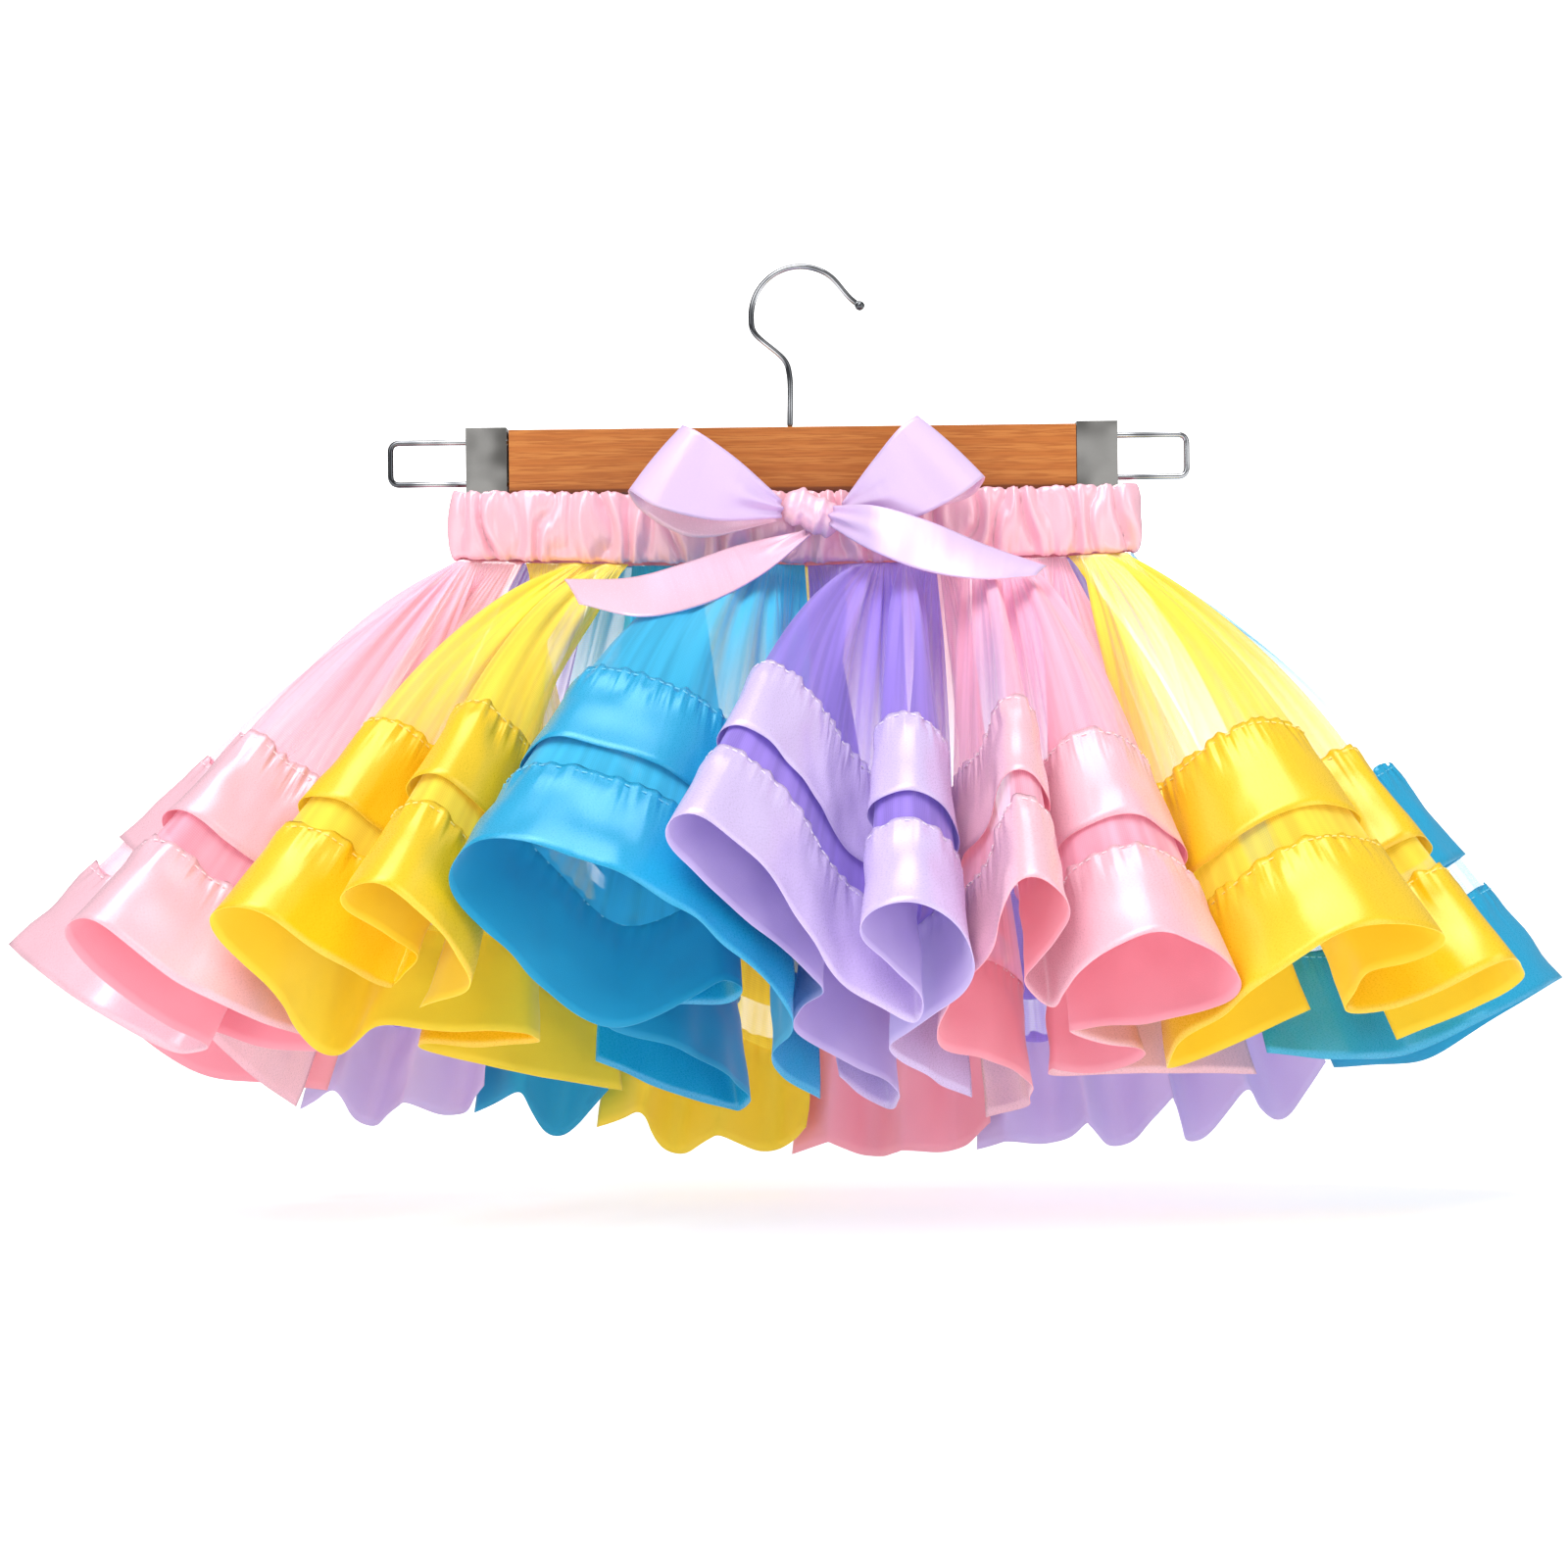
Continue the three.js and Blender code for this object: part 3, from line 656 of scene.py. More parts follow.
# %% From grids to meshes
def grid_piece(name, outer, uv, materials, inner=None, ring=False):
    """A mesh from a grid of points in millimetres. A ring joins its last column to its first."""
    rows, columns = outer.shape[:2]
    grids = [outer] if inner is None else [outer, inner]
    index = np.arange(len(grids) * rows * columns).reshape(len(grids), rows, columns)
    if ring:
        index = np.concatenate([index, index[:, :, :1]], axis=2)

    def strips(a, b, c, d):
        return np.stack([a.ravel(), b.ravel(), c.ravel(), d.ravel()], axis=1)

    front = index[0]
    faces = [strips(front[:-1, :-1], front[1:, :-1], front[1:, 1:], front[:-1, 1:])]
    if inner is not None:
        back = index[1]
        faces.append(strips(back[1:, 1:], back[1:, :-1], back[:-1, :-1], back[:-1, 1:]))
        faces.append(strips(back[0, :-1], front[0, :-1], front[0, 1:], back[0, 1:]))
        faces.append(strips(front[-1, :-1], back[-1, :-1], back[-1, 1:], front[-1, 1:]))
        if not ring:
            faces.append(strips(back[:-1, 0], back[1:, 0], front[1:, 0], front[:-1, 0]))
            faces.append(strips(front[:-1, -1], front[1:, -1], back[1:, -1], back[:-1, -1]))
    quads = np.vstack(faces)
    mesh = bpy.data.meshes.new(name)
    points = np.concatenate([grid.reshape(-1, 3) for grid in grids]) * MM
    mesh.from_pydata(points.tolist(), [], quads.tolist())
    slot_of = np.zeros(len(quads), np.int32)
    slot_of[len(faces[0]):] = len(materials) - 1
    mesh.polygons.foreach_set("material_index", slot_of)
    mesh.polygons.foreach_set("use_smooth", np.arange(len(quads)) < sum(map(len, faces[:2])))
    for material in materials:
        mesh.materials.append(material)
    layer = mesh.uv_layers.new(name="cloth")
    places = np.tile(uv.reshape(-1, 2) * MM, (len(grids), 1))
    layer.data.foreach_set("uv", places[quads.ravel()].ravel().astype(np.float32))
    mesh.update()
    piece = bpy.data.objects.new(name, mesh)
    bpy.context.scene.collection.objects.link(piece)
    return piece


def close_poles(piece):
    """Join the points of a ring that has shrunk to nothing, so that no hole is left."""
    shape = bmesh.new()
    shape.from_mesh(piece.data)
    bmesh.ops.remove_doubles(shape, verts=shape.verts, dist=1e-6)
    shape.to_mesh(piece.data)
    shape.free()
    return piece


def place(piece, slot, *nodes):
    """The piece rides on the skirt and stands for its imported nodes."""
    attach(piece, "root")
    if nodes:
        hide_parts(*nodes)
    return piece


print("mesh helpers ready")

# %% [markdown]
# Gathering leaves folds of many widths at the seam. The narrow ones die out first on the way down,
# so each family of waves has its own width, height and the distance at which it is gone. Noise alone
# would look crumpled, and plain waves ruled, so the waves wander slowly at random.

# %% The gathers of the tulle
# width at the hem, height, where it is fullest, where it has gone, all in millimetres
GATHERS = (
    (46, 1.5, 50, 190),
    (21, 0.7, 30, 130),
    (11, 0.25, 12, 70),
)


def smooth(value, low, high):
    t = np.clip((value - low) / (high - low), 0, 1)
    return t * t * (3 - 2 * t)


def wander(length, step, rng):
    """A slow random curve, between -1 and 1, over a length."""
    place = length / step
    knot = place.astype(int)
    heights = rng.uniform(-1, 1, knot.max() + 2)
    share = smooth(place - knot, 0, 1)
    return heights[knot] * (1 - share) + heights[knot + 1] * share


def gather_height(panel, distances, rng):
    total = np.zeros((len(distances), len(panel.along_hem)))
    for width, height, full, gone in GATHERS:
        stray = 2.2 * wander(panel.along_hem, 2.5 * width, rng)
        phase = 2 * np.pi * panel.along_hem / width + stray
        fade = smooth(distances, 0, full) * (1 - smooth(distances, full, gone))
        strength = 1 + 0.5 * wander(panel.along_hem, 3 * width, rng)
        total += height * fade[:, None] * (np.sin(phase) * strength)[None, :]
    return total


print("gather families:", len(GATHERS))

# %% [markdown]
# The tulle of a panel is one open sheet, from the waist seam to just behind the hem ribbon. It needs
# no thickness, because a net is seen through from both sides. Its rows lie closest near the seam,
# where the gathers are finest.

# %% The tulle panels
TULLE_END = 214
TULLE_ROWS = np.concatenate([np.arange(0.0, 120, 3), np.arange(120, TULLE_END, 5), [TULLE_END]])


def cloth_places(panel, distances):
    """Where each point of a grid lies on the flat cloth, along the hem and down from the seam."""
    rows = len(distances)
    down = np.broadcast_to(distances.reshape(rows, -1), (rows, len(panel.along_hem)))
    return np.stack([np.broadcast_to(panel.along_hem, down.shape), down], axis=2)


def fan_area(panel, top, bottom):
    """Area of the strip of cloth between two distances from the seam, in square metres."""
    grid = panel.points([top, bottom])
    edges = np.linalg.norm(np.diff(grid, axis=1), axis=2).sum(axis=1)
    return float(edges.mean() * (bottom - top) * MM * MM)


rng = np.random.default_rng(20)
for panel in panels:
    outer = panel.lifted(TULLE_ROWS, gather_height(panel, TULLE_ROWS, rng)[:, :, None])
    name = "net_" + panel.name
    piece = grid_piece(name, outer, cloth_places(panel, TULLE_ROWS), [nets[panel.name]])
    place(piece, "net_" + panel.colour, "tulle_" + panel.name)

# %% [markdown]
# Both ribbons of a panel are sewn down along their upper edge only. The thread draws that edge into
# small puckers, and the free lower edge swings a little off the cloth below. These forms catch the
# light along their edges, so they are in the mesh. Only the finest creases are left to the finish.

# %% The ribbons
RIBBONS = {"upper_ribbon": (145, 195), "hem_ribbon": (210, 260)}
RIBBON_CLOTH = 0.25
OFF_THE_NET = 0.9
PUCKER_WIDTH = 9
PUCKER_HEIGHT = 1.2
PUCKER_REACH = 16
SWING_WIDTH = 42
SWING_HEIGHT = 1.1
DENT_SIZE = 13
DENT_DEPTH = 0.8
EDGE_WANDER = 1.6


def dents(length, down, rng):
    """Soft random dents over a strip of cloth, between -1 and 1."""
    rows = down[-1] / DENT_SIZE
    lines = np.array([wander(length, DENT_SIZE, rng) for _ in range(int(rows) + 2)])
    place = down / DENT_SIZE
    line = place.astype(int)
    share = smooth(place - line, 0, 1)[:, None]
    return lines[line] * (1 - share) + lines[line + 1] * share


def ribbon_grid(panel, top, bottom, rng):
    """Distances from the seam, and heights over the tulle, of one ribbon's points."""
    length = panel.along_hem
    width = bottom - top
    down = np.concatenate([np.linspace(0, PUCKER_REACH, 8)[:-1], np.linspace(PUCKER_REACH, width, 9)])
    near_thread = 1 - smooth(down, 0, PUCKER_REACH)
    near_edge = smooth(down, 12, width)
    pucker_phase = 2 * np.pi * length / PUCKER_WIDTH + 3 * wander(length, 22, rng)
    puckers = np.sin(pucker_phase) + wander(length, 7, rng)
    swing = 1 + np.sin(2 * np.pi * length / SWING_WIDTH + 2 * wander(length, 90, rng))
    height = OFF_THE_NET + PUCKER_HEIGHT * np.outer(near_thread, 0.55 + 0.5 * puckers)
    height = height + 0.5 * SWING_HEIGHT * np.outer(near_edge, swing)
    height = height + DENT_DEPTH * (1 + dents(length, down, rng)) * smooth(down, 0, 10)[:, None]
    drawn = EDGE_WANDER * np.outer(near_thread, wander(length, 6, rng))
    distances = top + down[:, None] + drawn
    return distances, height[:, :, None]


for panel in panels:
    for kind, (top, bottom) in RIBBONS.items():
        distances, height = ribbon_grid(panel, top, bottom, rng)
        inner = panel.lifted(distances, height)
        outer = panel.lifted(distances, height + RIBBON_CLOTH)
        name = kind.replace("ribbon", "satin_" + panel.name)
        looks = [satins[panel.colour], undersides[panel.colour]]
        piece = grid_piece(name, outer, cloth_places(panel, distances), looks, inner)
        place(piece, "satin_" + panel.colour, f"{kind}_{panel.name}")

# %% [markdown]
# A row of small stitches holds the upper edge of every ribbon. There are about two thousand of them,
# so Geometry Nodes lays them: it walks along the edge, sets one short thread at each step and turns it
# to the edge's direction, with a slight random lean as from a sewing machine.

# %% The stitch tree
STITCH_STEP = 3.4
STITCH_LENGTH = 2.0
THREAD = 0.28
STITCH_ROW = 2.5
STITCH_LIFT = 0.9


def stitch_tree(material):
    """A node group that turns an edge line into a row of threads."""
    tree = bpy.data.node_groups.new("stitches", "GeometryNodeTree")
    inputs = (
        ("Edge", "NodeSocketGeometry", None),
        ("Step", "NodeSocketFloat", STITCH_STEP * MM),
        ("Length", "NodeSocketFloat", STITCH_LENGTH * MM),
        ("Thread", "NodeSocketFloat", THREAD * MM),
        ("Seed", "NodeSocketInt", 7),
    )
    for name, kind, value in inputs:
        made = tree.interface.new_socket(name, in_out="INPUT", socket_type=kind)
        if value is not None:
            made.default_value = value
    tree.interface.new_socket("Stitches", in_out="OUTPUT", socket_type="NodeSocketGeometry")

    def add(kind, links=None, **values):
        node = tree.nodes.new(kind)
        for key, value in values.items():
            setattr(node, key, value)
        for key, source in (links or {}).items():
            if isinstance(source, bpy.types.NodeSocket):
                tree.links.new(source, node.inputs[key])
            else:
                node.inputs[key].default_value = source
        return node

    given = tree.nodes.new("NodeGroupInput").outputs
    path = add("GeometryNodeMeshToCurve", {"Mesh": given["Edge"]})
    places = add("GeometryNodeCurveToPoints", {
        "Curve": path.outputs[0], "Length": given["Step"],
    }, mode="LENGTH")
    thread = add("GeometryNodeMeshCylinder", {
        "Vertices": 6, "Side Segments": 3, "Radius": given["Thread"], "Depth": given["Length"],
    })
    lean = add("FunctionNodeRandomValue", {
        "Min": (-0.12, -0.12, 0), "Max": (0.12, 0.12, 0), "Seed": given["Seed"],
    }, data_type="FLOAT_VECTOR")
    aim = add("FunctionNodeAlignRotationToVector", {"Vector": places.outputs["Tangent"]}, axis="Z")
    turned = add("FunctionNodeRotateRotation", {
        "Rotation": aim.outputs[0], "Rotate By": lean.outputs[0],
    }, rotation_space="LOCAL")
    row = add("GeometryNodeInstanceOnPoints", {
        "Points": places.outputs[0], "Instance": thread.outputs[0], "Rotation": turned.outputs[0],
    })
    real = add("GeometryNodeRealizeInstances", {"Geometry": row.outputs[0]})
    looks = add("GeometryNodeSetMaterial", {"Geometry": real.outputs[0], "Material": material})
    out = tree.nodes.new("NodeGroupOutput")
    tree.links.new(looks.outputs[0], out.inputs[0])
    return tree


print("a stitch every", STITCH_STEP, "mm, each", STITCH_LENGTH, "mm long")


# %% Sewing the ribbons on
def sew(name, lines, material, slot):
    """Stitches along these lines, as one finished mesh."""
    mesh = bpy.data.meshes.new(name)
    starts = np.cumsum([0] + [len(line) for line in lines])
    edges = [(i, i + 1) for a, b in zip(starts, starts[1:]) for i in range(a, b - 1)]
    mesh.from_pydata((np.vstack(lines) * MM).tolist(), edges, [])
    guide = bpy.data.objects.new(name + "_guide", mesh)
    bpy.context.scene.collection.objects.link(guide)
    guide.modifiers.new("stitches", "NODES").node_group = stitch_tree(material)
    graph = bpy.context.evaluated_depsgraph_get()
    finished = bpy.data.meshes.new_from_object(guide.evaluated_get(graph))
    guide.modifiers.clear()
    bpy.data.objects.remove(guide)
    piece = bpy.data.objects.new(name, finished)
    bpy.context.scene.collection.objects.link(piece)
    return place(piece, slot)


THREAD_COLOURS = {"pink": "FFE9F0", "yellow": "FFE98A", "blue": "7CD4F0", "lilac": "F4ECFF"}
threads = {colour: underside_finish("thread_" + colour, code) for colour, code in THREAD_COLOURS.items()}
for panel in panels:
    lines = []
    for top, _ in RIBBONS.values():
        middle = top + STITCH_ROW
        rows = np.stack([np.full(len(panel.along_hem), at) for at in (middle - 1, middle, middle + 1)])
        lines.append(panel.lifted(rows, OFF_THE_NET + RIBBON_CLOTH + STITCH_LIFT)[1])
    name = "stitches_" + panel.name
    sew(name, lines, threads[panel.colour], "satin_" + panel.colour)

# %% [markdown]
# The waistband is a satin tube drawn up by the elastic inside it. Between the gathers the satin
# puffs out in round lobes with sharp creases, and its two edges stand up in little frills. A sine wave
# would give even ripples. The size of a cosine, which is never below zero, gives wide lobes with a
# sharp crease between each two, and a lean that changes with the height keeps the creases from
# running straight.

# %% The waistband
BAND_TOP = -96.8
BAND_BOTTOM = -126.1
BAND_GATHERS = 54
GATHER_DEPTH = 2.1
BAND_PUFF = 2.4
BAND_COLUMNS = BAND_GATHERS * 14
OVAL_STEPS = 1440
BAND_HEIGHTS = np.linspace(0, 1, 25)
BAND_CLOTH = 0.8


def waistband():
    """The outer and inner points of the band, and their places on the cloth."""
    degrees = np.linspace(-90, 270, OVAL_STEPS + 1)
    oval = waist_points(degrees)
    flat = oval * (1, 1, 0)
    line = evenly(flat, BAND_COLUMNS)[:-1]
    girth = travelled(flat)
    share = np.arange(BAND_COLUMNS) / BAND_COLUMNS
    angle = np.interp(share, girth / girth[-1], np.linspace(-np.pi / 2, 1.5 * np.pi, OVAL_STEPS + 1))
    rise = SEAM_LIFT * np.cos(angle) ** 2
    ahead = np.roll(line, -1, axis=0) - np.roll(line, 1, axis=0)
    normal = np.stack([ahead[:, 1], -ahead[:, 0], 0 * angle], axis=1)
    normal /= np.linalg.norm(normal, axis=1, keepdims=True)
    loops = share * 2 * np.pi
    strength = 0.95 + 0.3 * np.sin(11 * loops + 1) + 0.3 * np.sin(29 * loops)
    outer = []
    for height in BAND_HEIGHTS:
        lean = (1.6 * np.sin(7 * loops + 2 * height) + 1.3 * np.sin(16 * loops - 3 * height)
                + np.sin(31 * loops + 4 * height))
        wave = 2 * np.abs(np.cos((BAND_GATHERS * loops + lean) / 2)) ** 0.8 - 1
        fine = np.abs(np.sin(BAND_GATHERS * 1.5 * loops + 1.5 * lean + 2 * height))
        frill = smooth(abs(height - 0.5), 0.3, 0.5)
        offset = GATHER_DEPTH * strength * wave * (1 - 0.35 * frill) + 0.7 * fine * frill
        offset += BAND_PUFF * np.sin(np.pi * height) ** 0.5
        up = np.where(height > 0.5, 1, -1) * frill * (0.6 * wave + 0.5 * fine)
        z = BAND_BOTTOM + rise + height * (BAND_TOP + rise / 2 - BAND_BOTTOM - rise) + up
        points = line + normal * offset[:, None]
        points[:, 2] = z
        outer.append(points)
    outer = np.array(outer[::-1])
    inner = outer - normal * BAND_CLOTH
    across = girth[-1] * share
    down = (1 - BAND_HEIGHTS) * (BAND_TOP - BAND_BOTTOM)
    uv = np.stack(np.broadcast_arrays(across[None, :], down[:, None]), axis=2)
    return outer, inner, uv


outer, inner, uv = waistband()
band_satin = satin_finish("satin_waistband", "F8C0D0", 0.17, 0.9)
band = grid_piece("gathered_waistband", outer, uv, [band_satin, undersides["pink"]], inner, ring=True)
place(band, "satin_waistband", "waistband")
print("waistband faces:", len(band.data.polygons))

# %% [markdown]
# The bow is one ribbon, lilac on one face and pink on the other. A flat curve with a tilt at each
# point could carry it, but a tilt is hard to read off a picture, and the two edges are not. So a loop
# and a tail on each side are told by their edges, section by section from the knot outwards, as
# (x, y, z) of the one edge and then of the other.

# %% The edges of the bow
BOW_STRIPS = {
    "bow_loop_left": [
        (-9.2, -28.8, -100.5, -9.2, -28.8, -108.5),
        (-28, -40, -84, -38, -42, -110),
        (-44, -45, -73, -62, -45, -104),
        (-50, -39, -70, -73, -38, -97),
        (-46, -31, -72, -69, -30, -104),
        (-30, -27, -83, -47, -27, -116),
        (-10.3, -24, -100.5, -10.3, -24, -109.5),
    ],
    "bow_loop_right": [
        (16.6, -28.8, -102, 16.6, -28.8, -110),
        (29, -40, -86, 43, -42, -111),
        (41, -45, -72, 65, -45, -101),
        (48, -39, -67, 76, -38, -93),
        (44, -31, -70, 71, -30, -100),
        (30, -27, -85, 48, -27, -106),
        (17.5, -24, -101, 17.5, -24, -110),
    ],
    "bow_tail_left": [
        (-2.5, -25.5, -114.4, 3, -26, -115.6),
        (-24, -31, -119, -18, -56, -134),
        (-49, -62, -129, -43, -92, -148),
        (-72, -82, -136, -66, -113, -153),
        (-98, -78, -136, -91, -100, -147),
    ],
    "bow_tail_right": [
        (13, -29.5, -103.5, 11, -29, -112),
        (30, -46, -105, 28, -52, -124),
        (52, -50, -112, 49, -60, -133),
        (76, -46, -122, 72, -64, -137),
        (101, -46, -131, 96, -54, -135.5),
    ],
}
print("bow sections:", {name: len(strip) for name, strip in BOW_STRIPS.items()})

# %% The loops and tails
BOW_STEPS = 10
BOW_WIDTH_STEPS = 21
BOW_CROWN = 0.8
BOW_CLOTH = 0.5
PINCH_DEPTH = 1.3
PINCH_REACH = 34
# The bow's own stretch of the ribbon, as far down the cloth as no crease under a thread reaches.
BOW_PLACE = 30
BOW_FACES = {
    "bow_loop_left": ("lilac", "pink"),
    "bow_loop_right": ("lilac", "pink"),
    "bow_tail_left": ("pink", "lilac"),
    "bow_tail_right": ("lilac", "pink"),
}


def bow_strip(name, finishes):
    """One loop or tail, pinched into creases near the knot."""
    sections = np.array(BOW_STRIPS[name], float)
    first, second = (spline(sections[:, 3 * k:3 * k + 3], BOW_STEPS) for k in (0, 1))
    width = np.linspace(0, 1, BOW_WIDTH_STEPS)[:, None, None]
    grid = first * (1 - width) + second * width
    side = 1 if name.endswith("right") else -1
    normal = side * np.cross(np.gradient(grid, axis=0), np.gradient(grid, axis=1))
    normal /= np.maximum(np.linalg.norm(normal, axis=2, keepdims=True), 1e-9)
    length = travelled(grid[BOW_WIDTH_STEPS // 2])
    from_knot = length[None, :, None]
    if name.startswith("bow_loop"):
        from_knot = np.minimum(from_knot, length[-1] - from_knot)
    pinch = PINCH_DEPTH * (1 - smooth(from_knot, 4, PINCH_REACH))
    crown = (BOW_CROWN + pinch * np.cos(4 * np.pi * width)) * np.sin(np.pi * width)
    outer = grid + normal * (crown + BOW_CLOTH / 2)
    inner = grid + normal * (crown - BOW_CLOTH / 2)
    span = np.linalg.norm(second - first, axis=1)
    along = np.broadcast_to(length, grid.shape[:2])
    uv = np.stack([along, width[:, :, 0] * span + BOW_PLACE], axis=2)
    if side < 0:
        outer, inner, uv = outer[:, ::-1], inner[:, ::-1], uv[:, ::-1]
    outside, inside = BOW_FACES[name]
    return grid_piece("satin_" + name, outer, uv, [finishes[outside], finishes[inside]], inner)


bow_finishes = {
    "lilac": satin_finish("bow_lilac", "DEC4EC", 0.3, 0.1),
    "pink": satin_finish("bow_pink", "F4C8DC", 0.22, 0.1),
}
bow = {name: place(bow_strip(name, bow_finishes), "satin_bow", name) for name in BOW_STRIPS}
print("bow pieces:", list(bow))

# %% [markdown]
# The knot is a short turn of the same ribbon, pulled tight. Only its front shows, so it is a rounded
# form with a few creases that run over it from top to bottom, and no wound ribbon.

# %% The knot
KNOT_CENTRE = np.array([3.6, -23.5, -106])
KNOT_SIZE = (26, 14, 17.5)
KNOT_LEAN = 24
KNOT_RINGS = 41
KNOT_SIDES = 48


def knot():
    across = np.sin(np.linspace(-math.pi / 2, math.pi / 2, KNOT_RINGS))[:, None]
    turn = np.linspace(0, 2 * np.pi, KNOT_SIDES + 1)[:-1][None, :]
    girth = (1 - np.abs(across) ** 2.6) ** 0.5
    crease = 1 + 0.07 * np.sin(9 * across + 0.8 * np.sin(turn))
    crease = crease - 0.05 * np.sin(17 * across + 1.5 * np.cos(turn))
    x = np.broadcast_to(across * 0.5, (KNOT_RINGS, KNOT_SIDES))
    y = 0.5 * girth * crease * np.sin(turn)
    z = 0.5 * girth * crease * np.cos(turn) * (1 - 0.14 * np.cos(3 * across))
    x, y, z = (part * size for part, size in zip((x, y, z), KNOT_SIZE))
    cosine, sine = math.cos(math.radians(KNOT_LEAN)), math.sin(math.radians(KNOT_LEAN))
    grid = KNOT_CENTRE + np.stack([x * cosine + z * sine, y, z * cosine - x * sine], axis=2)
    uv = np.stack(np.broadcast_arrays(turn * 8, across * 13 + 40), axis=2)
    return close_poles(grid_piece("satin_bow_knot", grid, uv, [bow_finishes["pink"]], ring=True))


knot_piece = knot()
place(knot_piece, "satin_bow", "bow_knot")
print("knot faces:", len(knot_piece.data.polygons))

# %% [markdown]
# The bar and the clips of the hanger keep their imported shapes. The bar is varnished pine, with rings
# stretched along it and fine pores, and painted shade in dark brown on its lower chamfer. The grain
# reads the bar's own coordinates, so it runs through the wood as the real one does, where a flat picture
# would smear on its ends. Small bevels catch the light on the edges. The clips are plated steel. The
# clips and the bent wires carry painted reflections, blotched dark and light in their colour.

# %% Wood and chrome
# Height in metres where the painted shade on the lower chamfer begins.
SHADED_CHAMFER_TOP = (-0.0942, -0.0932)


def wood_finish():
    wood = Finish("varnished_wood", Roughness=0.35, Coat_Roughness=0.2, Coat_Weight=0.3)
    spot = wood.node("ShaderNodeTexCoord", output=3)
    split = wood.tree.nodes.new("ShaderNodeSeparateXYZ")
    wood.tree.links.new(spot.socket, split.inputs[0])
    x, y, z = (Term(wood, split.outputs[k]) for k in range(3))
    bend = wood.speckle(x * 5, y * 20, z * 30, detail=1.0)
    rings = (z * 1100 + bend * 14).sine()
    pores = wood.speckle(x * 70, y * 900, z * 1400, detail=3.0)
    warm = wood.blend(rings.between(-1, 1), paint("BC6E2C"), paint("C67C38"))
    grained = wood.blend(pores.between(0.35, 0.6), paint("AE6224"), warm)
    # Below that height the base colour turns dark brown: painted shade on the downward-facing chamfer.
    wood.feed("Base Color", wood.blend(z.between(*SHADED_CHAMFER_TOP), paint("7E3F18"), grained))
    wood.relief(pores, 0.0002, 0.4)
    return wood.material


def chrome_finish(name, dark, light):
    chrome = Finish(name, Metallic=1.0)
    spot = chrome.node("ShaderNodeTexCoord", output=3)
    # Blotches that set the roughness, a real change of gloss, and the colour, which swings between a
    # dark and a light grey as a painted reflection.
    reflection_and_gloss_blotches = chrome.node("ShaderNodeTexNoise", None, {"Vector": spot, "Scale": 55.0, "Detail": 1.0})
    chrome.feed("Base Color", chrome.blend(reflection_and_gloss_blotches.between(0.35, 0.65), paint(dark), paint(light)))
    chrome.feed("Roughness", reflection_and_gloss_blotches * 0.2 + 0.04)
    return chrome.material


def dress(node, material, bevel=0.0):
    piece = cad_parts[node]
    piece.data.materials.clear()
    piece.data.materials.append(material)
    if bevel:
        edges = piece.modifiers.new("bevel", "BEVEL")
        edges.width = bevel * MM
        edges.segments = 3
        edges.limit_method = "ANGLE"
        edges.angle_limit = math.radians(25)
    return piece


wood = wood_finish()
# Each pair of greys is the dark and the light of the painted reflection.
plated = chrome_finish("plated_steel", "9C9A96", "F4F2EE")
drawn_wire = chrome_finish("polished_wire", "56585C", "C4C6CA")
dress("hanger_bar", wood, 0.7)
for node in ("clip_left", "clip_right"):
    dress(node, plated, 0.6)
print("hanger finishes:", wood.name, plated.name, drawn_wire.name)

# %% [markdown]
# The hook and the two loops that carry the clips are bent from one gauge of wire. A curve with a
# round bevel would give them too, but here a wire is a grid like the cloth: a line with a circle
# carried along it, so that its ends can be rounded. All three lie flat in one plane, and the circle
# needs no twist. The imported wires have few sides, and these stand in for them. The hook ends in a
# small ball, which keeps its tip from scratching.

# %% Bent wires
WIRE_RADIUS = 1.25
BALL_RADIUS = 2.1
LOOP_TOP = -72.6
LOOP_BOTTOM = -90.5
LOOP_CORNER = 4
LOOP_ENDS = {"left": (-125.5, -176.45), "right": (117.2, 164.75)}
HOOK_RADIUS = 21.2
HOOK_BEND = [
    (HOOK_RADIUS * math.cos(a), WIRE_RADIUS - HOOK_RADIUS + HOOK_RADIUS * math.sin(a))
    for a in np.radians(np.linspace(51, 198, 10))
]
HOOK_LINE = [(27.1, -17.1), (21.5, -12.8), *HOOK_BEND, (-6.9, -39.2), (-5.1, -45.1), (-5.1, -67.7)]
WIRE_SIDES = 16


def bent_wire(name, line, swelling=0.0):
    """A round wire along a line in the x-z plane. swelling makes a ball of its first end."""
    distance = travelled(line)
    tip = np.minimum(distance, distance[-1] - distance)
    radius = WIRE_RADIUS * np.sqrt(np.clip(1 - (1 - tip / WIRE_RADIUS).clip(0, 1) ** 2, 0, 1))
    ball = swelling ** 2 - (distance - swelling) ** 2
    radius = np.maximum(radius, np.sqrt(np.maximum(ball, 0))) if swelling else radius
    ahead = np.gradient(line, axis=0)
    ahead /= np.linalg.norm(ahead, axis=1, keepdims=True)
    beside = np.stack([ahead[:, 2], 0 * ahead[:, 0], -ahead[:, 0]], axis=1)
    turn = np.linspace(0, 2 * np.pi, WIRE_SIDES + 1)[:-1]
    depth = np.sin(turn)[:, None] * np.array([0, 1, 0])
    circle = np.cos(turn)[:, None] * beside[:, None, :] + depth
    grid = line[:, None, :] + circle * radius[:, None, None]
    uv = np.stack(np.broadcast_arrays(turn[None, :] * WIRE_RADIUS, distance[:, None]), axis=2)
    return close_poles(grid_piece(name, grid, uv, [drawn_wire], ring=True))


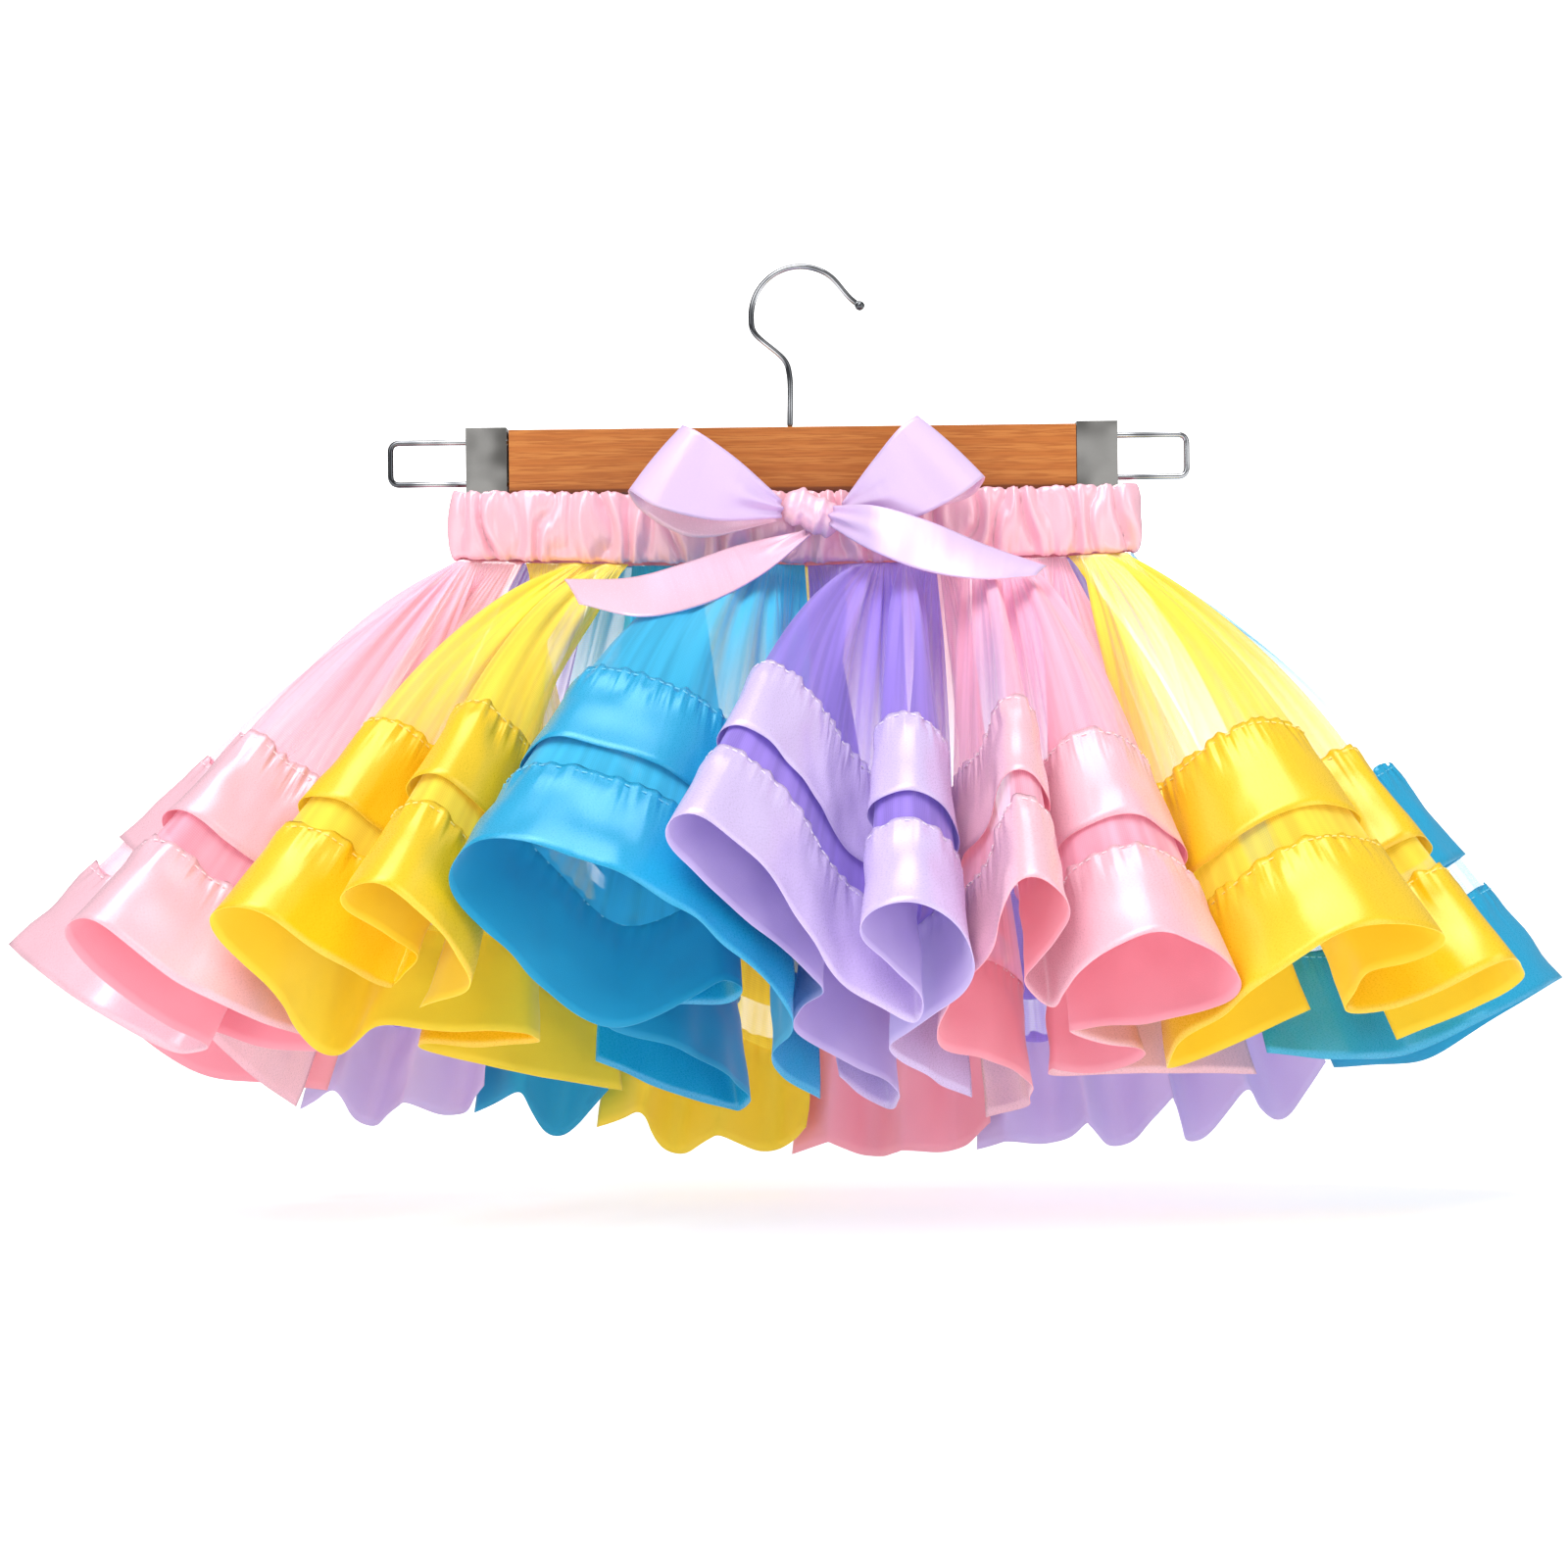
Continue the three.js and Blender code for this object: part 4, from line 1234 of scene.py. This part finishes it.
def loop_line(root, tip):
    """Out along the upper rail, round two corners and back along the lower one."""
    bend = tip - math.copysign(LOOP_CORNER, tip)
    corners = [(LOOP_TOP, LOOP_TOP - LOOP_CORNER), (LOOP_BOTTOM + LOOP_CORNER, LOOP_BOTTOM)]
    t = np.linspace(0, 1, 13)[:, None]
    rounds = []
    for (start, end), xs, corner in zip(corners, ((bend, tip), (tip, bend)), (LOOP_TOP, LOOP_BOTTOM)):
        turns = ((xs[0], start), (tip, corner), (xs[1], end))
        first, middle, last = (np.array([[x, 0, z]]) for x, z in turns)
        rounds.append(first * (1 - t) ** 2 + middle * 2 * t * (1 - t) + last * t ** 2)
    return evenly(np.vstack([[[root, 0, LOOP_TOP]], *rounds, [[root, 0, LOOP_BOTTOM]]]), 260)


for side, (root, tip) in LOOP_ENDS.items():
    place(bent_wire("bent_loop_" + side, loop_line(root, tip)), "chrome", "wire_loop_" + side)
hook_line = evenly(spline(np.array([(x, 0, z) for x, z in HOOK_LINE]), 30), 300)
hook = place(bent_wire("bent_hook", hook_line, BALL_RADIUS), "chrome", "hook")
print("wire faces on the hook:", len(hook.data.polygons))

# %% [markdown]
# The size that each sheet of cloth was cut to before it was sewn is worked out here for the tulle
# panels, their ribbons and the bow, and not kept. A tulle panel is cut as a fan, so its area is less
# than its width times its length. The elastic takes up a fifth of the waistband's strip.

for panel in panels:
    fan_area(panel, 0, TULLE_END)
    for kind, (top, bottom) in RIBBONS.items():
        fan_area(panel, top, bottom)
for name, piece in bow.items():
    sections = np.array(BOW_STRIPS[name], float)
    middle = travelled(spline((sections[:, :3] + sections[:, 3:]) / 2))[-1] * MM
print("sheets declared:", 3 * len(panels) + 1 + len(bow))

# %% [markdown]
# The setting is a white studio: a round floor, and a bright wall far away on every side, so that the
# skirt can be looked at from anywhere. The floor glows more and more away from the skirt, and only
# the soft shadow under the hem is left of it. The wall is there for the camera alone, and lights
# nothing. A wide light from above and in front gives the satin its broad highlights. A top light, a
# front one and a fill from the right soften the rest.

# %% Studio
FLOOR = -398
STUDIO_RADIUS = 2600
STUDIO_HEIGHT = 3000
STUDIO_SIDES = 64
GLOW_REACH = (0.5, 1.3)


def white_finish(name, near, far):
    """White that glows by itself, less near the middle of the studio than far from it."""
    white = Finish(name, Roughness=0.9, Emission_Strength=1.0)
    white.shader.inputs["Base Color"].default_value = (0.9, 0.9, 0.9, 1)
    spot = white.node("ShaderNodeTexCoord", output=3)
    distance = white.node("ShaderNodeVectorMath", {"operation": "LENGTH"}, {0: spot}, output=1)
    glow = white.blend(distance.between(*GLOW_REACH), (near, near, near, 1), (far, far, far, 1))
    white.feed("Emission Color", glow)
    return white.material


def studio_ring(name, radii, heights, material):
    """A round surface of the setting, from one circle to the next."""
    turn = np.linspace(0, 2 * np.pi, STUDIO_SIDES + 1)[:-1]
    rows = np.array([
        np.stack([radius * np.cos(turn), radius * np.sin(turn), np.full(STUDIO_SIDES, height)], axis=1)
        for radius, height in zip(radii, heights)
    ], float)
    piece = close_poles(grid_piece(name, rows, rows[:, :, :2], [material], ring=True))
    piece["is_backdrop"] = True
    return piece


floor_white, wall_white = white_finish("floor_white", 0.56, 0.9), white_finish("wall_white", 1.1, 1.1)
studio_ring("floor", (0, STUDIO_RADIUS / 2, STUDIO_RADIUS), (FLOOR,) * 3, floor_white)
wall = studio_ring("wall", (STUDIO_RADIUS,) * 2, (FLOOR, STUDIO_HEIGHT), wall_white)
wall.visible_diffuse = False
wall.visible_glossy = False
wall.visible_shadow = False


def soft_light(name, place_mm, aim_mm, size, power):
    """A square light of so many metres and watts, aimed at a point."""
    lamp = bpy.data.lights.new(name, "AREA")
    lamp.size = size
    lamp.energy = power
    light = bpy.data.objects.new(name, lamp)
    light.location = Vector(place_mm) * MM
    direction = (Vector(aim_mm) - Vector(place_mm)).to_track_quat("-Z", "Y")
    light.rotation_euler = direction.to_euler()
    bpy.context.scene.collection.objects.link(light)


MIDDLE = (0, -60, -240)
soft_light("key", (-420, -1150, 1250), MIDDLE, 1.0, 14)
soft_light("fill", (1300, -1200, 300), MIDDLE, 1.0, 5)
soft_light("front", (-850, -1250, 450), MIDDLE, 0.8, 4)
soft_light("top", (0, -350, 1250), MIDDLE, 1.1, 11)
world = bpy.data.worlds.new("studio")
world.use_nodes = True
sky = world.node_tree.nodes["Background"]
sky.inputs["Color"].default_value = (1, 1, 1, 1)
sky.inputs["Strength"].default_value = 0.36
bpy.context.scene.world = world
bpy.context.scene.view_settings.view_transform = "Standard"
bpy.context.scene.cycles.transparent_max_bounces = 24
print("studio ready")

# %% [markdown]
# Both boxes are printed, so that the dressed skirt can be compared with the imported one.

# %% Sizes and the end
visual_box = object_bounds()
sizes = {"cad": [list(corner) for corner in cad_box], "visual": [list(corner) for corner in visual_box]}
for key, box in sizes.items():
    print(key, "box:", [[round(v, 3) for v in corner] for corner in box])
